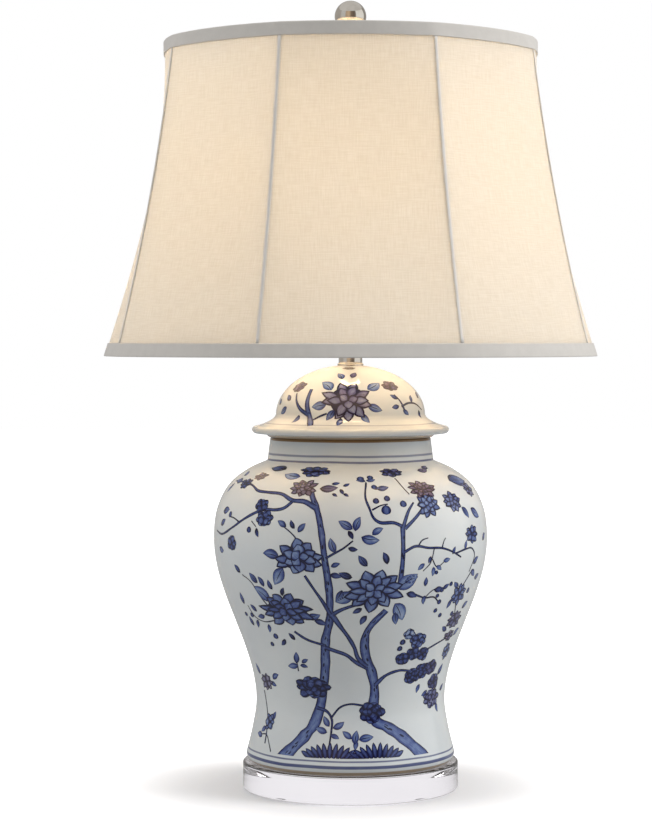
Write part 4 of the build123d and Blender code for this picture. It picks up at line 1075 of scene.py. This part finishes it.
# each trunk or branch: its places from the root, and its widths
trunks = [
    ([(-42, 37), (-33, 52), (-27, 62), (-22, 72), (-19.5, 82), (-17.5, 92), (-16, 105), (-14.5, 118),
      (-13.5, 130), (-12.5, 150), (-9.5, 172), (-9, 185), (-9, 200), (-9.5, 212), (-11, 240), (-12, 255),
      (-13.5, 268), (-18, 287)], (13.5, 10, 8, 7, 6.5, 5)),
    ([(46.5, 37), (35, 55), (28, 64), (21, 71), (15, 76), (13.5, 88), (14, 100), (13.5, 110), (12, 120),
      (8, 137), (7, 148), (7.5, 158), (10, 167), (16, 180)], (13.5, 11, 9, 8, 6)),
    ([(21, 205), (21.5, 230), (21.5, 245), (21.5, 257)], (5, 4.8, 4.4)),
]
branches = [
    ([(21.5, 256), (18, 259.5), (12, 260), (9.5, 264), (8, 272), (6.5, 282), (7.5, 295)], (3.2, 3, 2, 1.6)),
    ([(21.5, 254), (23, 262), (25, 270), (28, 277)], (4, 3, 2)),
    ([(22.5, 254), (28, 264), (31, 270), (33, 276)], (4, 3, 2)),
    ([(9, 271), (13, 275), (16, 276)], (1.6, 1.3)),
    ([(22, 233), (27, 238), (33, 236), (40, 235), (46, 231), (52, 225)], (3.2, 2.6, 2, 1.6)),
    ([(48, 229), (55, 232), (60, 232), (63, 225), (60, 210)], (1.8, 1.8, 1.4)),
    ([(36, 236), (35, 226), (34, 221), (31, 215)], (1.3, 1.0)),
    ([(35, 226), (38, 218), (42, 223)], (1.1, 0.9)),
    ([(28, 237), (30, 243), (33, 245)], (1.6, 1.0)),
    ([(40, 235), (41, 241), (42, 244)], (1.6, 1.0)),
    ([(-15, 273), (-20, 278), (-26, 279), (-32, 284), (-40, 285), (-47, 286), (-53, 290), (-62, 292),
      (-75, 292)], (5, 3.8, 3, 2.4, 1.8)),
    ([(-25, 279), (-29, 272), (-33, 270), (-38, 270), (-43, 267), (-50, 260), (-57, 252), (-67, 244),
      (-75, 246)], (3.4, 3, 2.6, 2.2, 1.8)),
    ([(-53, 257), (-57, 260), (-61, 261)], (1.6, 1.2)),
    ([(-9, 178), (-5, 166), (-1, 155), (2, 145), (4, 135), (9, 127)], (5.5, 4, 3.6, 4.2)),
    ([(-13, 145), (-8, 142), (-2, 138), (3, 131), (9, 125)], (4.5, 3.4, 3.6)),
    ([(-28, 159), (-22, 152), (-13, 147)], (2.6, 3.2)),
    ([(-9, 175), (-5, 180), (0, 184), (6, 187)], (4.5, 3, 2.4)),
    ([(-19, 212), (-15, 198), (-12, 188), (-9, 176)], (2.6, 3, 3.6)),
    ([(14, 109), (20, 118), (28, 122), (34, 121)], (4, 3, 2.4)),
    ([(41, 138), (50, 144), (59, 149)], (2.2, 1.8)),
    ([(-20, 88), (-14, 85), (-11, 78), (-11, 68), (-12, 54)], (3.2, 2.2, 1.8, 1.5)),
    ([(-11, 80), (-6, 89), (0, 92), (9, 90)], (2, 1.8, 2.2)),
    ([(-63, 98), (-61, 85), (-58, 70), (-57, 50)], (1.6, 1.6, 2)),
    ([(-50, 44), (-53, 51), (-57, 58), (-64, 57)], (1.4, 1.0)),
    ([(-20.5, 238), (-23, 247), (-27, 254), (-30, 258)], (1.6, 1.0)),
    ([(-10, 228), (-7, 232), (-3, 237), (1, 244)], (2.4, 2, 1.4)),
    ([(-34, 171), (-42, 187), (-47, 203), (-52, 209)], (1.6, 1.2, 1.0)),
    ([(-38, 168), (-45, 166), (-51, 170), (-54, 180)], (1.2, 1.0)),
    ([(27, 195), (34, 190), (39, 190), (43, 184)], (2, 1.4)),
    ([(34, 190), (38, 197), (46, 198)], (1.2, 1.0)),
    ([(-42, 254), (-45, 259)], (1.0, 1.0)),
    ([(-30, 121), (-30, 130)], (1.4, 1.0)),
    ([(23, 298), (25, 290), (27, 284)], (1.4, 1.2)),
    ([(62, 210), (58, 200), (55, 190), (57, 175), (60, 165)], (1.6, 1.4)),
]
# each flower: angle, height, reach across and up and petals in each ring, then its tone, how pointed its
# petals are, brown and line, as far as they differ from the usual
flowers = [
    (-21, 228, 27, 18, (9, 6, 3), 0.5, 0.6, 0, 2.0), (-30, 179, 32, 17, (11, 8, 4), 0.62, 0.6, 0, 1.9),
    (10, 199, 30, 22, (10, 8, 4), 0.5, 0.6, 0, 2.0), (-22, 107, 19, 11, (10, 7, 4), 0.84, 0.0, 0, 1.3),
    (13, 84, 12.5, 10.5, (8, 6, 3), 0.84, 0.0, 0, 1.3), (29, 133, 8, 7, (6, 4), 0.8, 0.0, 0, 1.2),
    (35, 137, 9, 7, (7, 4), 0.8, 0.0, 0, 1.2), (41, 136, 8, 7, (6, 4), 0.8, 0.0, 0, 1.2),
    (37, 116, 10, 8, (7, 5, 3), 0.84, 0.0, 0, 1.3), (44, 120, 10, 8, (7, 5, 3), 0.8, 0.0, 0, 1.2),
    (51, 122, 9, 8, (7, 4), 0.8, 0.0, 0.3, 1.2), (57, 92, 15, 10, (9, 6, 3), 0.6, 0.2, 0.3),
    (57, 107, 10, 8, (7, 5), 0.8, 0.0, 0.2, 1.2), (36, 150, 10, 8, (7, 5), 0.6, 0.1),
    (30, 156, 7, 6, (6, 3), 0.22, 0.2), (56, 190, 12, 12, (8, 5), 0.45),
    (60, 165, 14, 10, (9, 5), 0.5, 0.6, 0.4), (60, 150, 10, 6, (7, 4), 0.5, 0.6, 0.5),
    (63, 135, 8, 10, (7, 4), 0.35), (60, 245, 14, 9, (8, 5), 0.5),
    (-57.5, 237, 8.5, 7.5, (7, 4), 0.7, 0.0), (-41, 273, 8.5, 7, (7, 4), 0.7, 0.0),
    (-38, 262, 11, 7.5, (8, 5), 0.68, 0.0), (35, 288, 17, 11, (10, 7, 4), 0.5, 0.6, 0.75),
    (35, 274, 14, 13, (9, 6, 3), 0.42), (50, 276, 15, 11, (9, 6, 3), 0.48, 0.6, 0.15),
    (23, 303, 13, 8, (7, 4), 0.72, 0.6, 0.2), (-20, 304, 16, 10, (9, 6), 0.78, 0.3, 0.1),
    (-22, 290, 14, 11, (9, 6, 3), 0.5, 0.6, 0.7), (-53, 298, 10, 6, (7, 4), 0.5, 0.6, 0.6),
    (-60, 291, 11, 7, (7, 4), 0.7), (-58, 107, 11, 9, (8, 4), 0.4, 0.6, 0.55),
    (-56, 70, 8, 9, (6, 3), 0.42), (70, 285, 13, 9, (8, 5), 0.45, 0.6, 0.3),
]
# each leaf: angle, height, direction and length, then its tone, brown and width, as far as they differ
leaves = [
    (-31, 210, 215, 20, 0.35, 0, 12), (-34, 229, -80, 18, 0.4), (-42, 192, -50, 22, 0.4),
    (-17, 175, 80, 14, 0.5), (-14, 168, 110, 12, 0.6), (24, 207, 60, 24, 0.3, 0, 14),
    (22, 178, 150, 20, 0.28, 0, 13), (-3, 193, 235, 18, 0.28, 0, 12), (57, 265, 140, 14),
    (66, 264, 120, 18), (66, 293, 95, 34, 0.55, 0, 16), (45, 304, 80, 14, 0.46, 0.5),
    (50, 306, 60, 12, 0.46, 0.4), (15, 290, 80, 12, 0.6), (10, 297, 80, 9), (5, 296, -80, 9),
    (12, 290, 80, 7), (-10, 290, 85, 17, 0.6, 0.5), (-32, 300, -80, 19, 0.2, 0, 10),
    (-47, 305, -85, 22, 0.7), (-7, 294, 80, 8, 0.6), (-2, 293, 60, 7, 0.6), (-4, 287, 150, 7, 0.6),
    (-7, 284, 120, 6, 0.6), (-2, 284, 120, 6, 0.6), (-66, 266, 80, 14), (-67, 255, 60, 12),
    (-68, 230, 100, 12), (-41, 249, 160, 9, 0.7), (-29, 258, -60, 11), (-24, 258, -30, 9, 0.6),
    (-20, 255, 40, 11), (-45, 207, -45, 13, 0.5), (-41, 204, -30, 11, 0.55), (-36, 202, -20, 10, 0.6),
    (-30, 196, 20, 9, 0.65), (-55, 214, -50, 11, 0.6), (-50, 178, -50, 10), (-46, 171, -100, 10, 0.5),
    (-55, 165, -20, 10), (-50, 163, 200, 9), (-43, 160, 190, 9), (-36, 148, 220, 9, 0.6),
    (-30, 154, -40, 9, 0.65), (-57, 186, -10, 12), (-7, 240, -20, 14, 0.35), (-2, 258, -60, 15, 0.3),
    (3, 259, 20, 14, 0.35), (0, 249, 150, 9, 0.7), (8, 246, 100, 17, 0.35), (11, 252, 60, 12, 0.4),
    (1, 237, 100, 9, 0.7), (5, 226, -40, 13, 0.6), (14, 228, -20, 12, 0.65), (-2, 213, -70, 13, 0.6),
    (-5, 194, 210, 13, 0.4), (26, 208, 70, 14, 0.35), (21, 172, 170, 13, 0.35), (6, 171, 210, 11, 0.6),
    (3, 180, 240, 10, 0.6), (27, 193, 110, 12, 0.6), (33, 205, 0, 9), (41, 197, 90, 12, 0.5),
    (34, 188, 180, 9), (45, 199, 60, 9), (43, 103, 200, 9, 0.4), (-6, 222, 70, 9),
    (-6, 212, 100, 11, 0.6), (-26, 126, 100, 8), (-33, 126, -100, 12, 0.35), (-30, 134, 10, 12, 0.4),
    (-25, 131, 60, 8), (-48, 113, 60, 11), (-51, 106, 110, 9), (-66, 118, -30, 12), (-65, 56, -80, 11),
    (-52, 76, 30, 10), (-61, 62, 240, 10), (-17, 68, -70, 12, 0.3), (-7, 73, 60, 12, 0.3),
    (-14, 76, -30, 11, 0.35), (-9, 62, 110, 9, 0.3), (3, 62, 10, 13, 0.35), (-2, 64, -50, 11, 0.35),
    (9, 61, 80, 14, 0.35), (3, 55, 190, 9, 0.4), (34, 225, 200, 7), (30, 219, 230, 9, 0.3),
    (36, 214, 180, 9, 0.3), (39, 217, 120, 8, 0.3), (43, 224, 80, 9, 0.3), (47, 232, 30, 8),
    (55, 236, 20, 9), (65, 220, 60, 12), (64, 208, 120, 12), (52, 200, -60, 10), (50, 182, 200, 10),
    (66, 178, 60, 12), (53, 158, -60, 10), (68, 152, 60, 12), (62, 118, 30, 12), (49, 98, 240, 9),
    (64, 82, 160, 10), (70, 100, 60, 10), (-75, 286, 200, 12), (-72, 299, -60, 12), (74, 240, 60, 12),
    (70, 205, 80, 12, 0.5), (-70, 292, -80, 14, 0.5),
]
# each bud or berry: angle, height, size
berries = [
    (5, 298, 3.4), (10, 299, 3), (11, 291, 2.8), (11, 279, 3), (16, 281, 3), (15, 271, 4.6),
    (23, 276, 3.4), (27, 149, 3), (26, 143, 2.8), (43, 185, 2.6), (42, 177, 2.4), (46, 172, 2.4),
    (43, 196, 2.4), (48, 201, 2.4), (-46, 251, 3), (-53, 171, 2.6), (-40, 153, 3), (-58, 171, 2.4),
    (38, 213, 2), (-44, 145, 2.4), (-61, 263, 3), (52, 186, 2.6), (64, 192, 3), (55, 172, 2.6),
    (41, 191, 2.2),
]
# where the tufts at the foot stand: first and last angle, and how many blades
tufts = [(-26, 3, 11), (2, 28, 10)]
foot_height = 43.2
blade_length = 15.0
blade_width = 5.2
blade_lean = 62.0
blade_shortening = 0.2
tuft_spread = 0.36

lid_branches = [
    ([(-27, 345), (-33, 355), (-36, 365), (-37, 378)], (6, 5, 4)),
    ([(-33, 354), (-42, 360), (-48, 367), (-52, 374)], (4.5, 3, 2)),
    ([(46, 357), (43, 367), (39, 373)], (2.4, 1.6)),
    ([(43, 362), (52, 365), (62, 364), (72, 358)], (2.2, 1.6, 1.2)),
    ([(-30, 349), (-24, 353), (-18, 356)], (2.2, 1.6)),
]
lid_flowers = [
    (-2, 368, 26, 23, (9, 6, 3), 0.5, 0.8, 0.5, 2.0), (40, 381, 10, 7, (8, 4), 0.6, 0.2, 0.8),
    (-55, 380, 10, 7, (8, 4), 0.6, 0.2, 0.7), (-3, 397, 7, 5, (6, 3), 0.7, 0.6, 0.5),
]
lid_leaves = [
    (-23, 381, -50, 17, 0.25, 0, 10), (-25, 363, -100, 15, 0.25, 0, 9), (-13, 390, -30, 13, 0.35),
    (4, 391, 20, 12, 0.5, 0.4), (22, 381, 60, 17, 0.25, 0, 10), (19, 361, 110, 15, 0.35),
    (11, 351, 150, 13, 0.35), (-15, 354, 215, 13, 0.35), (-8, 348, 190, 12, 0.45), (38, 371, -60, 9),
    (37, 362, -100, 9), (47, 356, 120, 9), (66, 354, 160, 9), (58, 369, 30, 9),
    (-63, 358, -120, 13, 0.35), (-44, 350, 200, 11, 0.4), (-60, 370, -60, 11),
    (-7, 404, -60, 8, 0.7, 0.3), (2, 403, 50, 8, 0.6), (75, 372, 60, 11), (-75, 366, -60, 11),
]


def design(canvas, drawn_branches, drawn_flowers, drawn_leaves, drawn_berries=()):
    """Paints one side's branches, then its leaves and berries, then its flowers."""
    for knots, widths in drawn_branches:
        branch(canvas, knots, widths, layer=branch_layer)
    for paint, rows in ((leaf, drawn_leaves), (berry, drawn_berries), (bloom, drawn_flowers)):
        for row in rows:
            paint(canvas, *row)


def foot_tufts(canvas):
    """Tufts of blades that fan out at the foot of the painting."""
    for first, last, count in tufts:
        for share in np.linspace(-1, 1, count):
            angle = (first + last) / 2 + share * (last - first) * tuft_spread
            lean = math.radians(blade_lean * share)
            tip = np.array([math.sin(lean), math.cos(lean)]) * blade_length
            tip = tip * (1 - blade_shortening * abs(share))
            graded = np.linspace(0.95, 0.45, 9)
            petal(canvas, (angle, foot_height), -0.1 * tip, tip, blade_width, graded, 3, 0.2, line=1.1)


def painted_piece(name, canvas):
    """The strokes of a canvas as one piece."""
    values = dict(zip(("edge", "tone", "line", "brown"), np.vstack(canvas["values"]).T))
    return mesh_piece(
        name, np.vstack(canvas["points"]), np.vstack(canvas["faces"]), "lamp_body", painted_cobalt,
        slot="porcelain", uv=np.vstack(canvas["uv"]), values=values)


def painting():
    """A blossoming tree on the front of the jar and the lid, and the same scene mirrored on the back."""
    jar_line = jar_body_line()
    lid_line = np.vstack([brim_line()[:-1], dome_line(0)])
    for side, turn, mirror, seed in (("front", 0, 1, 7), ("back", 180, -1, 19)):
        canvas = canvas_on(jar_line, turn, mirror, seed, foot_height)
        for knots, widths in trunks:
            spine, half = branch(canvas, knots, widths)
            bark(canvas, spine, half, knots[0], len(spine) // 4)
        foot_tufts(canvas)
        design(canvas, branches, flowers, leaves, berries)
        painted_piece(f"jar_painting_{side}", canvas)
        canvas = canvas_on(lid_line, turn, mirror, seed + 1)
        design(canvas, lid_branches, lid_flowers, lid_leaves)
        painted_piece(f"lid_painting_{side}", canvas)


acrylic_disc()
jar()
jar_lid()
painting()
nickel_neck()
bulb_envelope()
finial_ball()
finial_foot()
shade()


# ---------------------------------------------------------------- studio

def seen_rays(tree):
    """1 for rays from the camera, from a mirror or through glass, 0 for the rest."""
    path = add(tree, "LightPath")
    seen = add(tree, "Math", {0: path.outputs["Is Camera Ray"], 1: path.outputs["Is Glossy Ray"]},
               operation="MAXIMUM")
    return add(tree, "Math", {0: seen, 1: path.outputs["Is Transmission Ray"]}, operation="MAXIMUM")


def studio_world(level):
    """A plain surround that lights at one level and is white where it is seen, mirrored or seen through."""
    world = bpy.data.worlds.new("studio")
    bpy.context.scene.world = world
    world.use_nodes = True
    tree = world.node_tree
    tree.nodes.clear()
    light = add(tree, "Background", {"Color": colour("#FFFFFF"), "Strength": level})
    white = add(tree, "Background", {"Color": colour("#FFFFFF"), "Strength": 1.0})
    mixed = add(tree, "MixShader", {0: seen_rays(tree), 1: light, 2: white})
    add(tree, "OutputWorld", {"Surface": mixed})


def stage_piece(name, points, faces, material):
    """A piece of the studio, in millimetres."""
    mesh = bpy.data.meshes.new(name)
    mesh.from_pydata((np.asarray(points) * MM).tolist(), [], np.asarray(faces).tolist())
    mesh.materials.append(material)
    piece = bpy.data.objects.new(name, mesh)
    bpy.context.scene.collection.objects.link(piece)
    return piece


def floor():
    """A wide pale table. Where it is seen it is lifted towards white, the more the farther it is from the
    lamp, so that only the lamp's soft shadow is left and the table runs into the white behind it."""
    half = 9000.0
    material, tree = new_material("matt_table_laminate")
    where = add(tree, "TexCoord").outputs["Object"]
    cloud = add(tree, "TexNoise", {"Vector": where, "Scale": 1 / (300 * MM)})
    tint = add(tree, "Mix", {0: cloud, 6: colour("#BCBCBC"), 7: colour("#B9B9BA")}, data_type="RGBA")
    plain = add(tree, "BsdfPrincipled", {"Base Color": tint, "Roughness": 0.9, "Specular IOR Level": 0.0})
    away = add(tree, "VectorMath", {0: where}, operation="LENGTH").outputs["Value"]
    fading = add(tree, "MapRange", {
        "Value": away, "From Min": shadow_near * MM, "From Max": shadow_far * MM,
        "To Min": floor_lift, "To Max": 1.0}, interpolation_type="SMOOTHSTEP")
    lift = add(tree, "Emission", {"Color": colour("#FFFFFF"), "Strength": fading})
    matt = add(tree, "BsdfDiffuse", {"Color": colour(floor_seen)})
    lifted = add(tree, "AddShader", {0: matt, 1: lift})
    mixed = add(tree, "MixShader", {0: seen_rays(tree), 1: plain, 2: lifted})
    mirrored = add(tree, "Emission", {"Color": colour(floor_mirrored), "Strength": 1.0})
    glossy = add(tree, "LightPath").outputs["Is Glossy Ray"]
    mixed = add(tree, "MixShader", {0: glossy, 1: mixed, 2: mirrored})
    add(tree, "OutputMaterial", {"Surface": mixed})
    stage_piece("table_top", [(-half, -half, 0), (half, -half, 0), (half, half, 0), (-half, half, 0)],
                [(0, 1, 2, 3)], material)


def room_walls():
    """The room that the glaze and the nickel mirror: a wide drum round the set, with its tones by azimuth,
    under a paler ceiling. Only mirrored rays see it, so it lights nothing else."""
    material, tree = new_material("mirrored_room")
    where = add(tree, "TexCoord").outputs["UV"]
    azimuth = add(tree, "SeparateXYZ", {0: where}).outputs["X"]
    ramp = add(tree, "ValToRGB", {"Fac": azimuth})
    elements = ramp.color_ramp.elements
    elements[0].color = colour(room_tones[0][1])
    elements[-1].color = colour(room_tones[-1][1])
    for degrees, text in room_tones[1:-1]:
        elements.new((degrees + 180) / 360).color = colour(text)
    shown = add(tree, "Emission", {"Color": ramp.outputs["Color"], "Strength": 1.0})
    add(tree, "OutputMaterial", {"Surface": shown})
    columns = 97
    turn = np.linspace(-np.pi, np.pi, columns)
    level = np.array([[room_low], [room_high], [room_high], [room_high]])
    radius = np.array([[1.0], [1.0], [0.5], [0.001]]) * room_radius
    points = np.stack([radius * np.sin(turn), -radius * np.cos(turn), level + 0 * turn], -1)
    faces = grid_faces(4, columns)
    drum = stage_piece("room_walls", points.reshape(-1, 3), faces, material)
    ceiling, ceiling_tree = new_material("mirrored_ceiling")
    pale = add(ceiling_tree, "Emission", {"Color": colour(ceiling_tone), "Strength": 1.0})
    add(ceiling_tree, "OutputMaterial", {"Surface": pale})
    drum.data.materials.append(ceiling)
    drum.data.polygons.foreach_set("material_index", (np.arange(len(faces)) >= columns - 1).astype(np.int32))
    corner = np.zeros(len(drum.data.loops), np.int32)
    drum.data.loops.foreach_get("vertex_index", corner)
    layer = drum.data.uv_layers.new(name="UVMap")
    uv = np.stack([np.tile(np.linspace(0, 1, columns), 4), np.repeat(np.arange(4) / 3, columns)], -1)
    layer.data.foreach_set("uv", uv.astype(np.float32)[corner].ravel())
    drum.visible_camera = False
    drum.visible_diffuse = False
    drum.visible_transmission = False
    drum.visible_volume_scatter = False
    drum.visible_shadow = False


def soft_box(name, azimuth, elevation, size, level):
    """A square soft light that faces the lamp's middle, from an azimuth in degrees to the right of the front
    and an elevation. level is how bright it makes a white surface that faces it. The glaze doesn't mirror
    it, because the room's walls stand for it there."""
    data = bpy.data.lights.new(name, "AREA")
    data.shape = "SQUARE"
    data.size = size * MM
    data.energy = 4 * math.pi * (light_distance * MM) ** 2 * level
    light = bpy.data.objects.new(name, data)
    bpy.context.scene.collection.objects.link(light)
    turn, tilt = math.radians(azimuth), math.radians(elevation)
    light.location = (
        light_distance * math.cos(tilt) * math.sin(turn) * MM,
        -light_distance * math.cos(tilt) * math.cos(turn) * MM,
        (lamp_middle + light_distance * math.sin(tilt)) * MM)
    light.rotation_euler = (math.pi / 2 - tilt, 0, turn)
    light.visible_glossy = False


def camera():
    data = bpy.data.cameras.new("camera")
    data.lens = camera_lens
    data.sensor_width = sensor
    data.shift_x = shift_right
    data.shift_y = shift_up
    view = bpy.data.objects.new("camera", data)
    bpy.context.scene.collection.objects.link(view)
    view.location = (0, -camera_distance * MM, camera_height * MM)
    view.rotation_euler = (math.pi / 2, 0, 0)
    bpy.context.scene.camera = view


surround_level = 0.36
lamp_middle = 380.0
light_distance = 3200.0
# the soft boxes: azimuth to the right of the front, elevation, size and level
soft_boxes = {"key_box": (75, 36, 1500, 0.53), "fill_box": (-78, 36, 1500, 0.27)}
# seen table: brightness added near the lamp, its own tone, its tone in a mirror, where the shadow fades out
floor_lift = 0.22
floor_seen = "#DEDEE0"
floor_mirrored = "#B6B5B3"
shadow_near = 115.0
shadow_far = 300.0
# the mirrored room, by azimuth to the right of the front
room_radius = 2600.0
room_low = -20.0
room_high = 2500.0
ceiling_tone = "#D6D5D4"
room_tones = [
    (-180, "#B4B1AE"), (-100, "#B5B1AD"), (-76, "#BAB6B2"), (-70, "#D2D3D4"), (-40, "#CECFD0"),
    (-34, "#C2AE98"), (-10, "#D8C0A4"), (4, "#8E7D6F"), (24, "#75675D"), (38, "#8A827B"),
    (43, "#FFFFFF"), (110, "#FFFFFF"), (118, "#9C9996"), (180, "#B4B1AE")]

studio_world(surround_level)
floor()
room_walls()
for box_name, box_settings in soft_boxes.items():
    soft_box(box_name, *box_settings)
camera()
bpy.context.scene.view_settings.view_transform = "Standard"
